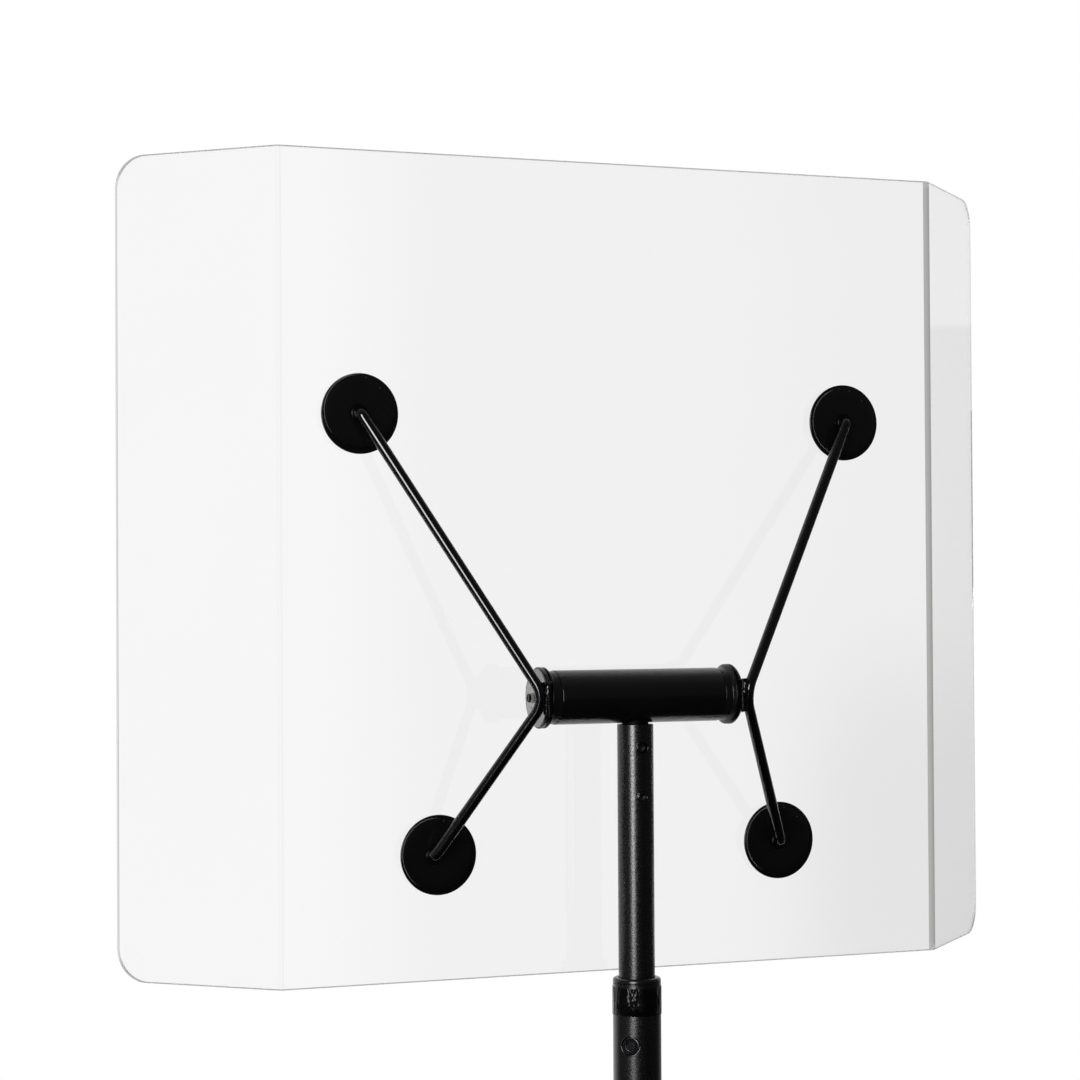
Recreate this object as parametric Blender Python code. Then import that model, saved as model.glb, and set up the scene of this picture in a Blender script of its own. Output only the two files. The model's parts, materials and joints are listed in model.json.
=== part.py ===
"""Acoustic screen for a seated player: a bent clear acrylic sheet on a telescopic stand.

The stand stands on Z = 0 and +Z is up. The player sits on the +Y side, inside the folded wings.
The stand and its tilting head are on the -Y side. Lengths are in metres.
"""

import math

import bmesh
import bpy
from mathutils import Vector

MM = 0.001

# Running and seating clearances
SLIDE_FIT = 0.15 * MM
SEAT_FIT = 0.10 * MM
FACE_GAP = 0.20 * MM
LAID_GAP = 0.30 * MM

# Clear screen, measured over the outer faces of its folds
SCREEN_HEIGHT = 500 * MM
SCREEN_CENTRE_WIDTH = 441 * MM
SCREEN_WING_WIDTH = 112 * MM
SCREEN_THICKNESS = 5 * MM
SCREEN_FOLD = math.radians(45)
SCREEN_FOLD_RADIUS = 1.5 * MM
SCREEN_CORNER_RADIUS = 20 * MM

# Where the screen hangs from the tilt axis
SCREEN_SIDE_OFFSET = 7.6 * MM
SCREEN_STANDOFF = 37.5 * MM
SCREEN_RISE = 79.3 * MM

# Discs bonded to the screen, and the rods that carry them
DISC_DIAMETER = 47 * MM
DISC_THICKNESS = 3 * MM
DISC_CHAMFER = 0.4 * MM
PAD_OVERHANG = 0.3 * MM
PAD_THICKNESS = 1 * MM
DISC_UPPER_SPREAD = 163.2 * MM
DISC_UPPER_RISE = 170.6 * MM
DISC_LOWER_SPREAD = 114.6 * MM
DISC_LOWER_DROP = 94.8 * MM
ROD_DIAMETER = 6.5 * MM
ROD_APEX_RADIUS = 16.5 * MM
ROD_ELBOW_RADIUS = 5 * MM
ROD_ELBOW_STANDOFF = 5.5 * MM
ROD_WASHER_GAP = 0.35 * MM
ROD_TAB_OVERLAP = 1.2 * MM
COLLAR_WIDTH = 2.4 * MM
COLLAR_HEIGHT = 1.8 * MM

# Cross tube and the stack of parts on each end of it
CROSS_TUBE_DIAMETER = 32.6 * MM
CROSS_TUBE_WALL = 2 * MM
CROSS_TUBE_LENGTH = 107.4 * MM
TILT_BUSH_SLEEVE = 14 * MM
TILT_BUSH_WALL = 2.2 * MM
TILT_BUSH_COLLAR = 4.6 * MM
TILT_BUSH_INSET = 0.35 * MM
TILT_BUSH_FLARE = 1.4 * MM
TILT_BUSH_LIP = 1 * MM
TILT_BUSH_LIP_RISE = 2 * MM
FRICTION_WASHER_DIAMETER = 34.4 * MM
FRICTION_WASHER_THICKNESS = 0.8 * MM
ARM_PLATE_DIAMETER = 36.9 * MM
ARM_PLATE_THICKNESS = 1.4 * MM
ARM_TAB_HEIGHT = 18.6 * MM
ARM_TAB_THICKNESS = 2.3 * MM
END_WASHER_INSET = 1.15 * MM
END_WASHER_THICKNESS = 1.1 * MM
END_WASHER_CHAMFER = 0.3 * MM
NUT_ACROSS_FLATS = 19.6 * MM
NUT_THICKNESS = 2.5 * MM
NUT_CROWN_INSET = 0.4 * MM
NUT_CHAMFER_SLOPE = math.radians(30)
NUT_DIMPLE_DROP = 6 * MM
NUT_DIMPLE_DIAMETER = 1.5 * MM
NUT_DIMPLE_DEPTH = 0.5 * MM
STUD_DIAMETER = 5.6 * MM
STUD_PROJECTION = 2.6 * MM
STUD_CENTRE_DIAMETER = 2.6 * MM
STUD_CENTRE_DEPTH = 1.2 * MM

# Mast, which slides and turns in the lower tube
MAST_DIAMETER = 22 * MM
MAST_WALL = 1.5 * MM
MAST_LENGTH = 650 * MM
MAST_EXPOSED = 152.3 * MM
MAST_TOP_GAP = 1.2 * MM
NECK_DIAMETER = 16 * MM
SPIGOT_TAIL = 12 * MM
NECK_SCREW_DIAMETER = 6 * MM
NECK_SCREW_LENGTH = 8 * MM
NECK_SCREW_SOCKET = 3 * MM
NECK_SCREW_SOCKET_DEPTH = 2.5 * MM
UPPER_SCREW_INSET = 13.6 * MM
UPPER_SCREW_CLEARANCE = 0.7 * MM
UPPER_SCREW_SINK = 1.5 * MM
LOWER_SCREW_INSET = 43 * MM
LOWER_SCREW_CLEARANCE = 0.15 * MM
LOWER_SCREW_SINK = 0.4 * MM
END_PLUG_LENGTH = 16 * MM
GUIDE_LENGTH = 24 * MM
GUIDE_SCREW_DIAMETER = 6 * MM
GUIDE_SCREW_REACH = 12 * MM
GUIDE_SCREW_HEAD_DIAMETER = 10 * MM
GUIDE_SCREW_HEAD_HEIGHT = 4 * MM

# Lower tube with its bush, label and height brake
LOWER_TUBE_LENGTH = 860 * MM
LOWER_TUBE_WALL = 2 * MM
TOP_BUSH_WALL = 1.35 * MM
TOP_BUSH_LIP = 3.1 * MM
TOP_BUSH_ROUND = 1.9 * MM
TOP_BUSH_SLEEVE = 26 * MM
LABEL_DROP = 2.3 * MM
LABEL_HEIGHT = 16.6 * MM
LABEL_THICKNESS = 0.25 * MM
BRAKE_DROP = 36.6 * MM
BRAKE_TURN = math.radians(-41)
BRAKE_HOLE = 11.1 * MM
BRAKE_SINK = 1.15 * MM
BRAKE_SOCKET = 5.2 * MM
BRAKE_SOCKET_DEPTH = 0.7 * MM
BRAKE_SHOE_WALL = 0.8 * MM
BRAKE_SHOE_HEIGHT = 18 * MM
BRAKE_SHOE_ARC = math.radians(70)

# Base
BASE_DIAMETER = 330 * MM
BASE_THICKNESS = 8 * MM
BASE_CHAMFER = 1.5 * MM
FOOT_COUNT = 4
FOOT_DIAMETER = 24 * MM
FOOT_HEIGHT = 4 * MM
FOOT_INSET = 20 * MM
FOOT_STUB_DIAMETER = 8 * MM
FOOT_STUB_HEIGHT = 4 * MM
SOCKET_WALL = 7 * MM
SOCKET_HEIGHT = 14 * MM
SOCKET_CHAMFER = 2 * MM
BASE_BOLT_DIAMETER = 10 * MM
BASE_BOLT_REACH = 20 * MM
BASE_BOLT_HEAD_DIAMETER = 16 * MM
BASE_BOLT_HEAD_HEIGHT = 3.2 * MM
BASE_BOLT_SOCKET = 8 * MM
BASE_BOLT_SOCKET_DEPTH = 2 * MM
BASE_WASHER_DIAMETER = 19 * MM
BASE_WASHER_THICKNESS = 1 * MM
BASE_RECESS_DEPTH = 5 * MM
TUBE_PLUG_LENGTH = 25 * MM

# Faces round a turned piece, and steps along a bend
BASE_SIDES = 64
ROUND_SIDES = 36
SMALL_SIDES = 24
HEX_SIDES = 6
ROD_SIDES = 16
CORNER_STEPS = 6
FOLD_STEPS = 5
ELBOW_STEPS = 6
LIP_STEPS = 4
SHOE_STEPS = 8
SMOOTH_ANGLE = math.radians(35)

# Radii that several pieces share
MAST_RADIUS = MAST_DIAMETER / 2
MAST_BORE = MAST_RADIUS - MAST_WALL
BUSH_BORE = MAST_RADIUS + SLIDE_FIT
LOWER_TUBE_BORE = BUSH_BORE + TOP_BUSH_WALL + SEAT_FIT
LOWER_TUBE_RADIUS = LOWER_TUBE_BORE + LOWER_TUBE_WALL
CROSS_TUBE_RADIUS = CROSS_TUBE_DIAMETER / 2
CROSS_TUBE_BORE = CROSS_TUBE_RADIUS - CROSS_TUBE_WALL
ROD_RADIUS = ROD_DIAMETER / 2
STUD_RADIUS = STUD_DIAMETER / 2
STUD_HOLE = STUD_RADIUS + SLIDE_FIT
END_WASHER_RADIUS = ARM_PLATE_DIAMETER / 2 - END_WASHER_INSET
BASE_BOLT_RADIUS = BASE_BOLT_DIAMETER / 2
BASE_BOLT_HOLE = BASE_BOLT_RADIUS + SLIDE_FIT

# Distances from the middle of the cross tube out to each face of its end stack
TUBE_END = CROSS_TUBE_LENGTH / 2
BUSH_FACE = TUBE_END + FACE_GAP + TILT_BUSH_COLLAR + TILT_BUSH_FLARE + TILT_BUSH_LIP
FRICTION_FACE = BUSH_FACE + FACE_GAP + FRICTION_WASHER_THICKNESS
PLATE_BACK = FRICTION_FACE + FACE_GAP
PLATE_FACE = PLATE_BACK + ARM_PLATE_THICKNESS
WASHER_FACE = PLATE_FACE + FACE_GAP + END_WASHER_THICKNESS
NUT_BACK = WASHER_FACE + FACE_GAP
NUT_FACE = NUT_BACK + NUT_THICKNESS
STUD_END = NUT_FACE + STUD_PROJECTION

# The rod's apex stands outside the end washer, against the end of the arm plate's front tab
ROD_APEX_SPREAD = WASHER_FACE + ROD_WASHER_GAP + ROD_RADIUS
TAB_END = ROD_APEX_SPREAD - ROD_RADIUS - LAID_GAP
TAB_BACK = END_WASHER_RADIUS + LAID_GAP
TAB_FRONT = TAB_BACK + ARM_TAB_THICKNESS
ROD_APEX_FORWARD = TAB_BACK - ROD_TAB_OVERLAP

# Distances from the tilt axis back to the faces of the pads and discs
PAD_BACK = SCREEN_STANDOFF - FACE_GAP
DISC_BACK = PAD_BACK - PAD_THICKNESS - FACE_GAP
DISC_FACE = DISC_BACK - DISC_THICKNESS

# Heights above the floor
BASE_TOP = FOOT_HEIGHT + BASE_THICKNESS
RECESS_ROOF = FOOT_HEIGHT + BASE_RECESS_DEPTH
TUBE_FOOT = BASE_TOP + LAID_GAP
TUBE_TOP = TUBE_FOOT + LOWER_TUBE_LENGTH
BUSH_TOP = TUBE_TOP + FACE_GAP + TOP_BUSH_LIP
MAST_TOP = BUSH_TOP + MAST_EXPOSED
TILT_AXIS = MAST_TOP + MAST_TOP_GAP + CROSS_TUBE_RADIUS
GUIDE_TOP = MAST_TOP - MAST_LENGTH - FACE_GAP

# Turns that point a piece's own +Z another way
UPRIGHT = (0, 0, 0)
TOWARDS_RIGHT = (0, math.radians(90), 0)
TOWARDS_LEFT = (0, math.radians(-90), 0)
TOWARDS_FRONT = (math.radians(90), 0, 0)
TOWARDS_BRAKE = (math.radians(90), 0, BRAKE_TURN)
SIDES = (("left", -1, TOWARDS_LEFT), ("right", 1, TOWARDS_RIGHT))

# Finishes: colour, roughness, metallic, transmission
FINISHES = {
    "textured_black": ((0.016, 0.016, 0.018), 0.5, 0.0, 0.0),
    "satin_black": ((0.010, 0.010, 0.011), 0.32, 0.0, 0.0),
    "gloss_black": ((0.008, 0.008, 0.009), 0.18, 0.0, 0.0),
    "black_plastic": ((0.014, 0.014, 0.015), 0.42, 0.0, 0.0),
    "black_rubber": ((0.02, 0.02, 0.02), 0.8, 0.0, 0.0),
    "zinc": ((0.62, 0.62, 0.60), 0.3, 1.0, 0.0),
    "dark_zinc": ((0.09, 0.09, 0.10), 0.35, 1.0, 0.0),
    "clear_acrylic": ((0.94, 0.95, 0.945), 0.03, 0.0, 1.0),
}


def clear_scene():
    for existing in list(bpy.data.objects):
        bpy.data.objects.remove(existing, do_unlink=True)


def new_material(name, finish):
    colour, roughness, metallic, transmission = FINISHES[finish]
    look = bpy.data.materials.new(f"{name}_{finish}")
    look.use_nodes = True
    shader = look.node_tree.nodes["Principled BSDF"]
    shader.inputs["Base Color"].default_value = (*colour, 1)
    shader.inputs["Roughness"].default_value = roughness
    shader.inputs["Metallic"].default_value = metallic
    shader.inputs["Transmission Weight"].default_value = transmission
    look.diffuse_color = (*colour, 1)
    return look


def new_object(name, data, parent, place=(0, 0, 0), turn=UPRIGHT):
    thing = bpy.data.objects.new(name, data)
    thing.parent = parent
    thing.location = place
    thing.rotation_euler = turn
    bpy.context.scene.collection.objects.link(thing)
    return thing


def new_axis(name, parent, place):
    """Empty on a joint's axis, which carries what that joint moves."""
    axis = new_object(name, None, parent, place)
    axis.empty_display_size = 0.03
    return axis


def new_piece(name, data, finish, parent, place=(0, 0, 0), turn=UPRIGHT):
    data.materials.append(new_material(name, finish))
    return new_object(name, data, parent, place, turn)


def finish_mesh(name, work):
    bmesh.ops.recalc_face_normals(work, faces=work.faces)
    mesh = bpy.data.meshes.new(name)
    work.to_mesh(mesh)
    work.free()
    mesh.shade_smooth()
    mesh.set_sharp_from_angle(angle=SMOOTH_ANGLE)
    return mesh


def turned_mesh(name, outline, sides=ROUND_SIDES):
    """Half section of (radius, height) points, turned about local Z.

    An outline that starts and ends on the axis is a solid, and one that keeps off it closes up.
    """
    work = bmesh.new()
    turns = [2 * math.pi * step / sides for step in range(sides)]
    rings = []
    for radius, height in outline:
        if radius == 0:
            rings.append([work.verts.new((0, 0, height))])
        else:
            ring = [(radius * math.cos(turn), radius * math.sin(turn), height) for turn in turns]
            rings.append([work.verts.new(point) for point in ring])
    bands = list(zip(rings, rings[1:]))
    if outline[0][0] > 0:
        bands.append((rings[-1], rings[0]))
    for first, second in bands:
        for step in range(sides):
            after = step + 1
            corners = (
                first[step % len(first)],
                first[after % len(first)],
                second[after % len(second)],
                second[step % len(second)],
            )
            work.faces.new(tuple(dict.fromkeys(corners)))
    return finish_mesh(name, work)


def ring_outline(inner, outer, low, high):
    return [(outer, high), (outer, low), (inner, low), (inner, high)]


def rod_outline(radius, low, high):
    return [(0, high), (radius, high), (radius, low), (0, low)]


def stepped_outline(narrow, tip, wide, shoulder, foot):
    """Solid that is narrow from its tip down to a shoulder, and wide below it."""
    return rod_outline(narrow, shoulder, tip)[:3] + rod_outline(wide, foot, shoulder)[1:]


def apply_tool(piece, tool, operation):
    """Boolean that keeps its tool out of the finished object."""
    tool.hide_render = True
    tool.display_type = "WIRE"
    change = piece.modifiers.new(tool.name, "BOOLEAN")
    change.operation = operation
    change.solver = "EXACT"
    change.object = tool


def drill(piece, name, radius, low, high, place=(0, 0, 0), turn=UPRIGHT, sides=SMALL_SIDES):
    """Hole from low to high along the tool's own Z, round unless it has few sides."""
    mesh = turned_mesh(name, rod_outline(radius, low, high), sides)
    apply_tool(piece, new_object(name, mesh, piece.parent, place, turn), "DIFFERENCE")


def bridge_sections(work, sections):
    """Closes a row of four-cornered sections into one body."""
    for first, second in zip(sections, sections[1:]):
        for corner in range(4):
            after = (corner + 1) % 4
            work.faces.new((first[corner], first[after], second[after], second[corner]))
    work.faces.new(sections[0])
    work.faces.new(sections[-1])


def hexagon_radius(across_flats):
    return across_flats / 2 / math.cos(math.pi / HEX_SIDES)


def foot_centres():
    circle = BASE_DIAMETER / 2 - FOOT_INSET
    angles = [2 * math.pi * (step + 0.5) / FOOT_COUNT for step in range(FOOT_COUNT)]
    return [Vector((circle * math.cos(angle), circle * math.sin(angle), 0)) for angle in angles]


def make_base_plate(stand):
    rim = BASE_DIAMETER / 2
    recess = BASE_WASHER_DIAMETER / 2 + LAID_GAP
    outline = [
        (rim - BASE_CHAMFER, BASE_TOP),
        (rim, BASE_TOP - BASE_CHAMFER),
        (rim, FOOT_HEIGHT),
        (recess, FOOT_HEIGHT),
        (recess, RECESS_ROOF),
        (BASE_BOLT_HOLE, RECESS_ROOF),
        (BASE_BOLT_HOLE, BASE_TOP),
    ]
    mesh = turned_mesh("base_plate", outline, BASE_SIDES)
    plate = new_piece("base_plate", mesh, "textured_black", stand)
    hole = FOOT_STUB_DIAMETER / 2 + SEAT_FIT
    roof = FOOT_HEIGHT + FOOT_STUB_HEIGHT + FACE_GAP
    for step, centre in enumerate(foot_centres()):
        drill(plate, f"foot_hole_{step + 1}", hole, 0, roof, centre)


def make_feet(stand):
    """Rubber feet, each with a stub pressed into a blind hole of the plate."""
    stub = FOOT_STUB_DIAMETER / 2
    stub_top = FOOT_HEIGHT + FOOT_STUB_HEIGHT
    outline = stepped_outline(stub, stub_top, FOOT_DIAMETER / 2, FOOT_HEIGHT - FACE_GAP, 0)
    for step, centre in enumerate(foot_centres()):
        label = f"base_foot_{step + 1}"
        mesh = turned_mesh(label, outline, SMALL_SIDES)
        new_piece(label, mesh, "black_rubber", stand, centre)


def make_tube_seat(stand):
    """Ring on the base round the tube's foot, and the threaded plug inside it."""
    inner = LOWER_TUBE_RADIUS + SEAT_FIT
    outer = inner + SOCKET_WALL
    high = TUBE_FOOT + SOCKET_HEIGHT
    outline = [
        (outer - SOCKET_CHAMFER, high),
        (outer, high - SOCKET_CHAMFER),
        (outer, TUBE_FOOT),
        (inner, TUBE_FOOT),
        (inner, high),
    ]
    new_piece("base_socket", turned_mesh("base_socket", outline), "textured_black", stand)
    radius = LOWER_TUBE_BORE - SEAT_FIT
    plug = ring_outline(BASE_BOLT_HOLE, radius, TUBE_FOOT, TUBE_FOOT + TUBE_PLUG_LENGTH)
    new_piece("tube_foot_plug", turned_mesh("tube_foot_plug", plug), "zinc", stand)


def make_base_bolt(stand):
    """Bolt and washer in the plate's recess, up into the plug."""
    washer_top = RECESS_ROOF - FACE_GAP
    washer_low = washer_top - BASE_WASHER_THICKNESS
    ring = ring_outline(BASE_BOLT_HOLE, BASE_WASHER_DIAMETER / 2, washer_low, washer_top)
    new_piece("base_washer", turned_mesh("base_washer", ring, SMALL_SIDES), "zinc", stand)
    tip = TUBE_FOOT + BASE_BOLT_REACH
    head = BASE_BOLT_HEAD_DIAMETER / 2
    head_top = washer_low - FACE_GAP
    head_low = head_top - BASE_BOLT_HEAD_HEIGHT
    outline = stepped_outline(BASE_BOLT_RADIUS, tip, head, head_top, head_low)
    bolt = new_piece("base_bolt", turned_mesh("base_bolt", outline, SMALL_SIDES), "zinc", stand)
    key = hexagon_radius(BASE_BOLT_SOCKET)
    roof = head_low + BASE_BOLT_SOCKET_DEPTH
    drill(bolt, "base_bolt_socket", key, 0, roof, sides=HEX_SIDES)


def make_lower_tube(stand):
    ring = ring_outline(LOWER_TUBE_BORE, LOWER_TUBE_RADIUS, TUBE_FOOT, TUBE_TOP)
    tube = new_piece("lower_tube", turned_mesh("lower_tube", ring), "textured_black", stand)
    outside = LOWER_TUBE_RADIUS + BRAKE_HOLE
    brake = (0, 0, TUBE_TOP - BRAKE_DROP)
    drill(tube, "brake_hole", BRAKE_HOLE / 2, MAST_BORE, outside, brake, TOWARDS_BRAKE)
    label_top = TUBE_TOP - LABEL_DROP
    inner = LOWER_TUBE_RADIUS + SEAT_FIT
    band = ring_outline(inner, inner + LABEL_THICKNESS, label_top - LABEL_HEIGHT, label_top)
    new_piece("label_band", turned_mesh("label_band", band), "gloss_black", stand)


def make_top_bush(stand):
    """Plastic bush that guides the mast, with a rounded lip on the tube's end."""
    lip_low = TUBE_TOP + FACE_GAP
    sleeve = LOWER_TUBE_BORE - SEAT_FIT
    outline = [(BUSH_BORE, BUSH_TOP)]
    for step in range(LIP_STEPS + 1):
        angle = math.pi / 2 * step / LIP_STEPS
        radius = LOWER_TUBE_RADIUS - TOP_BUSH_ROUND * (1 - math.sin(angle))
        outline.append((radius, BUSH_TOP - TOP_BUSH_ROUND * (1 - math.cos(angle))))
    outline += [
        (LOWER_TUBE_RADIUS, lip_low),
        (sleeve, lip_low),
        (sleeve, TUBE_TOP - TOP_BUSH_SLEEVE),
        (BUSH_BORE, TUBE_TOP - TOP_BUSH_SLEEVE),
    ]
    new_piece("top_bush", turned_mesh("top_bush", outline), "black_plastic", stand)


def make_brake(stand):
    """Curved shoe on the mast, and the socketed disc in the tube's wall that presses it."""
    place = (0, 0, TUBE_TOP - BRAKE_DROP)
    outer = BUSH_BORE + BRAKE_SHOE_WALL
    up = Vector((0, 0, BRAKE_SHOE_HEIGHT / 2))
    work = bmesh.new()
    sections = []
    for step in range(SHOE_STEPS + 1):
        angle = BRAKE_SHOE_ARC * (step / SHOE_STEPS - 0.5)
        out = Vector((math.sin(angle), -math.cos(angle), 0))
        corners = (out * outer - up, out * outer + up, out * BUSH_BORE + up, out * BUSH_BORE - up)
        sections.append([work.verts.new(corner) for corner in corners])
    bridge_sections(work, sections)
    shoe = finish_mesh("brake_shoe", work)
    new_piece("brake_shoe", shoe, "black_plastic", stand, place, (0, 0, BRAKE_TURN))

    face = LOWER_TUBE_RADIUS - BRAKE_SINK
    disc = rod_outline(BRAKE_HOLE / 2 - FACE_GAP, outer + FACE_GAP, face)
    mesh = turned_mesh("brake_adjuster", disc, SMALL_SIDES)
    adjuster = new_piece("brake_adjuster", mesh, "dark_zinc", stand, place, TOWARDS_BRAKE)
    key = hexagon_radius(BRAKE_SOCKET)
    floor = face - BRAKE_SOCKET_DEPTH
    outside = face + BRAKE_SOCKET_DEPTH
    drill(adjuster, "brake_socket", key, floor, outside, place, TOWARDS_BRAKE, HEX_SIDES)


def make_guide(slide):
    """Plastic guide at the mast's foot, which slides in the lower tube and doesn't turn."""
    hole = GUIDE_SCREW_DIAMETER / 2 + SLIDE_FIT
    ring = ring_outline(hole, LOWER_TUBE_BORE - SLIDE_FIT, -GUIDE_LENGTH, 0)
    new_piece("mast_guide", turned_mesh("mast_guide", ring), "black_plastic", slide)


def make_mast(swivel):
    """Tube, spigot and their two screws, measured down from the mast's top."""
    ring = ring_outline(MAST_BORE, MAST_RADIUS, -MAST_LENGTH, 0)
    tube = new_piece("mast_tube", turned_mesh("mast_tube", ring), "textured_black", swivel)
    spigot = make_spigot(swivel)
    upper = (UPPER_SCREW_INSET, UPPER_SCREW_CLEARANCE, UPPER_SCREW_SINK)
    lower = (LOWER_SCREW_INSET, LOWER_SCREW_CLEARANCE, LOWER_SCREW_SINK)
    make_neck_screw("upper", *upper, tube, spigot)
    make_neck_screw("lower", *lower, tube, spigot)


def make_spigot(swivel):
    """Turned spigot in the mast's bore, saddled on top to the underside of the cross tube."""
    body = MAST_BORE - SEAT_FIT
    neck = NECK_DIAMETER / 2
    axis_rise = MAST_TOP_GAP + CROSS_TUBE_RADIUS
    shoulder = -MAST_TOP_GAP
    foot = -LOWER_SCREW_INSET - SPIGOT_TAIL
    outline = stepped_outline(neck, axis_rise, body, shoulder, foot)
    spigot = new_piece("neck_spigot", turned_mesh("neck_spigot", outline), "satin_black", swivel)
    saddle = CROSS_TUBE_RADIUS + FACE_GAP
    reach = NECK_DIAMETER
    centre = (0, 0, axis_rise)
    drill(spigot, "neck_saddle", saddle, -reach, reach, centre, TOWARDS_RIGHT, ROUND_SIDES)
    return spigot


def make_neck_screw(name, inset, clearance, sink, tube, spigot):
    """Socket screw that passes the mast's front wall and threads into the spigot."""
    place = (0, 0, -inset)
    radius = NECK_SCREW_DIAMETER / 2
    head = MAST_RADIUS - sink
    tip = head - NECK_SCREW_LENGTH
    outside = MAST_DIAMETER
    hole = f"{name}_wall_hole"
    drill(tube, hole, radius + clearance, MAST_BORE / 2, outside, place, TOWARDS_FRONT)
    thread = f"{name}_thread_hole"
    drill(spigot, thread, radius + SEAT_FIT, tip - FACE_GAP, outside, place, TOWARDS_FRONT)
    label = f"neck_screw_{name}"
    mesh = turned_mesh(label, rod_outline(radius, tip, head), SMALL_SIDES)
    screw = new_piece(label, mesh, "dark_zinc", tube.parent, place, TOWARDS_FRONT)
    key = hexagon_radius(NECK_SCREW_SOCKET)
    floor = head - NECK_SCREW_SOCKET_DEPTH
    drill(screw, f"{name}_socket", key, floor, outside, place, TOWARDS_FRONT, HEX_SIDES)


def make_mast_end(swivel):
    """Plug in the mast's foot, and the screw that holds the guide to it."""
    shank = GUIDE_SCREW_DIAMETER / 2
    foot = -MAST_LENGTH
    plug = ring_outline(shank + SEAT_FIT, MAST_BORE - SEAT_FIT, foot, foot + END_PLUG_LENGTH)
    new_piece("mast_end_plug", turned_mesh("mast_end_plug", plug), "zinc", swivel)
    tip = foot + GUIDE_SCREW_REACH
    head = GUIDE_SCREW_HEAD_DIAMETER / 2
    head_top = foot - FACE_GAP - GUIDE_LENGTH - FACE_GAP
    outline = stepped_outline(shank, tip, head, head_top, head_top - GUIDE_SCREW_HEAD_HEIGHT)
    new_piece("guide_screw", turned_mesh("guide_screw", outline, SMALL_SIDES), "zinc", swivel)


def make_cross_tube(swivel):
    """Cross tube on the neck, with a flanged bush and a friction washer at each end."""
    centre = (0, 0, MAST_TOP_GAP + CROSS_TUBE_RADIUS)
    ring = ring_outline(CROSS_TUBE_BORE, CROSS_TUBE_RADIUS, -TUBE_END, TUBE_END)
    mesh = turned_mesh("cross_tube", ring)
    new_piece("cross_tube", mesh, "satin_black", swivel, centre, TOWARDS_RIGHT)
    radius = FRICTION_WASHER_DIAMETER / 2
    washer = ring_outline(STUD_HOLE, radius, BUSH_FACE + FACE_GAP, FRICTION_FACE)
    for name, _, turn in SIDES:
        label = f"tilt_bush_{name}"
        mesh = turned_mesh(label, tilt_bush_outline())
        new_piece(label, mesh, "black_plastic", swivel, centre, turn)
        label = f"friction_washer_{name}"
        new_piece(label, turned_mesh(label, washer), "black_plastic", swivel, centre, turn)


def tilt_bush_outline():
    """Half section of a bush from its bearing face in to the end of its sleeve."""
    sleeve = CROSS_TUBE_BORE - SEAT_FIT
    sleeve_end = TUBE_END - TILT_BUSH_SLEEVE
    collar = CROSS_TUBE_RADIUS - TILT_BUSH_INSET
    collar_low = TUBE_END + FACE_GAP
    lip = CROSS_TUBE_RADIUS + TILT_BUSH_LIP_RISE
    return [
        (STUD_HOLE, BUSH_FACE),
        (lip, BUSH_FACE),
        (lip, BUSH_FACE - TILT_BUSH_LIP),
        (collar, collar_low + TILT_BUSH_COLLAR),
        (collar, collar_low),
        (sleeve, collar_low),
        (sleeve, sleeve_end),
        (sleeve - TILT_BUSH_WALL, sleeve_end),
        (sleeve - TILT_BUSH_WALL, collar_low),
        (STUD_HOLE, collar_low),
    ]


def make_stud(tilt):
    """Stud right through the cross tube, with a small recess in each end."""
    centre = STUD_CENTRE_DIAMETER / 2
    recess = STUD_END - STUD_CENTRE_DEPTH
    half = [(0, recess), (centre, recess), (centre, STUD_END), (STUD_RADIUS, STUD_END)]
    outline = half + [(radius, -height) for radius, height in reversed(half)]
    mesh = turned_mesh("tilt_stud", outline, SMALL_SIDES)
    new_piece("tilt_stud", mesh, "zinc", tilt, turn=TOWARDS_RIGHT)


def make_end_washer(name, turn, tilt):
    outline = [
        (END_WASHER_RADIUS - END_WASHER_CHAMFER, WASHER_FACE),
        (END_WASHER_RADIUS, WASHER_FACE - END_WASHER_CHAMFER),
        (END_WASHER_RADIUS, PLATE_FACE + FACE_GAP),
        (STUD_HOLE, PLATE_FACE + FACE_GAP),
        (STUD_HOLE, WASHER_FACE),
    ]
    label = f"end_washer_{name}"
    new_piece(label, turned_mesh(label, outline), "zinc", tilt, turn=turn)


def make_nut(name, turn, tilt):
    """Thin nut with two upright sides, a turned crown and a spanner dimple below its middle."""
    label = f"tilt_nut_{name}"
    corner = hexagon_radius(NUT_ACROSS_FLATS)
    mesh = turned_mesh(label, rod_outline(corner, NUT_BACK, NUT_FACE), HEX_SIDES)
    nut = new_piece(label, mesh, "zinc", tilt, turn=turn)
    crown = NUT_ACROSS_FLATS / 2 - NUT_CROWN_INSET
    spare = NUT_THICKNESS
    slope = math.tan(NUT_CHAMFER_SLOPE)
    cone = [
        (0, NUT_FACE + spare * slope),
        (crown - spare, NUT_FACE + spare * slope),
        (corner + spare, NUT_FACE - (corner + spare - crown) * slope),
        (corner + spare, NUT_BACK - spare),
        (0, NUT_BACK - spare),
    ]
    tool_name = f"nut_crown_{name}"
    tool = new_object(tool_name, turned_mesh(tool_name, cone), tilt, turn=turn)
    apply_tool(nut, tool, "INTERSECT")
    drill(nut, f"nut_bore_{name}", STUD_HOLE, TUBE_END, STUD_END + spare, turn=turn)
    dimple = (0, 0, -NUT_DIMPLE_DROP)
    radius = NUT_DIMPLE_DIAMETER / 2
    floor = NUT_FACE - NUT_DIMPLE_DEPTH
    drill(nut, f"nut_dimple_{name}", radius, floor, STUD_END, dimple, turn, SMALL_SIDES // 2)


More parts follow.
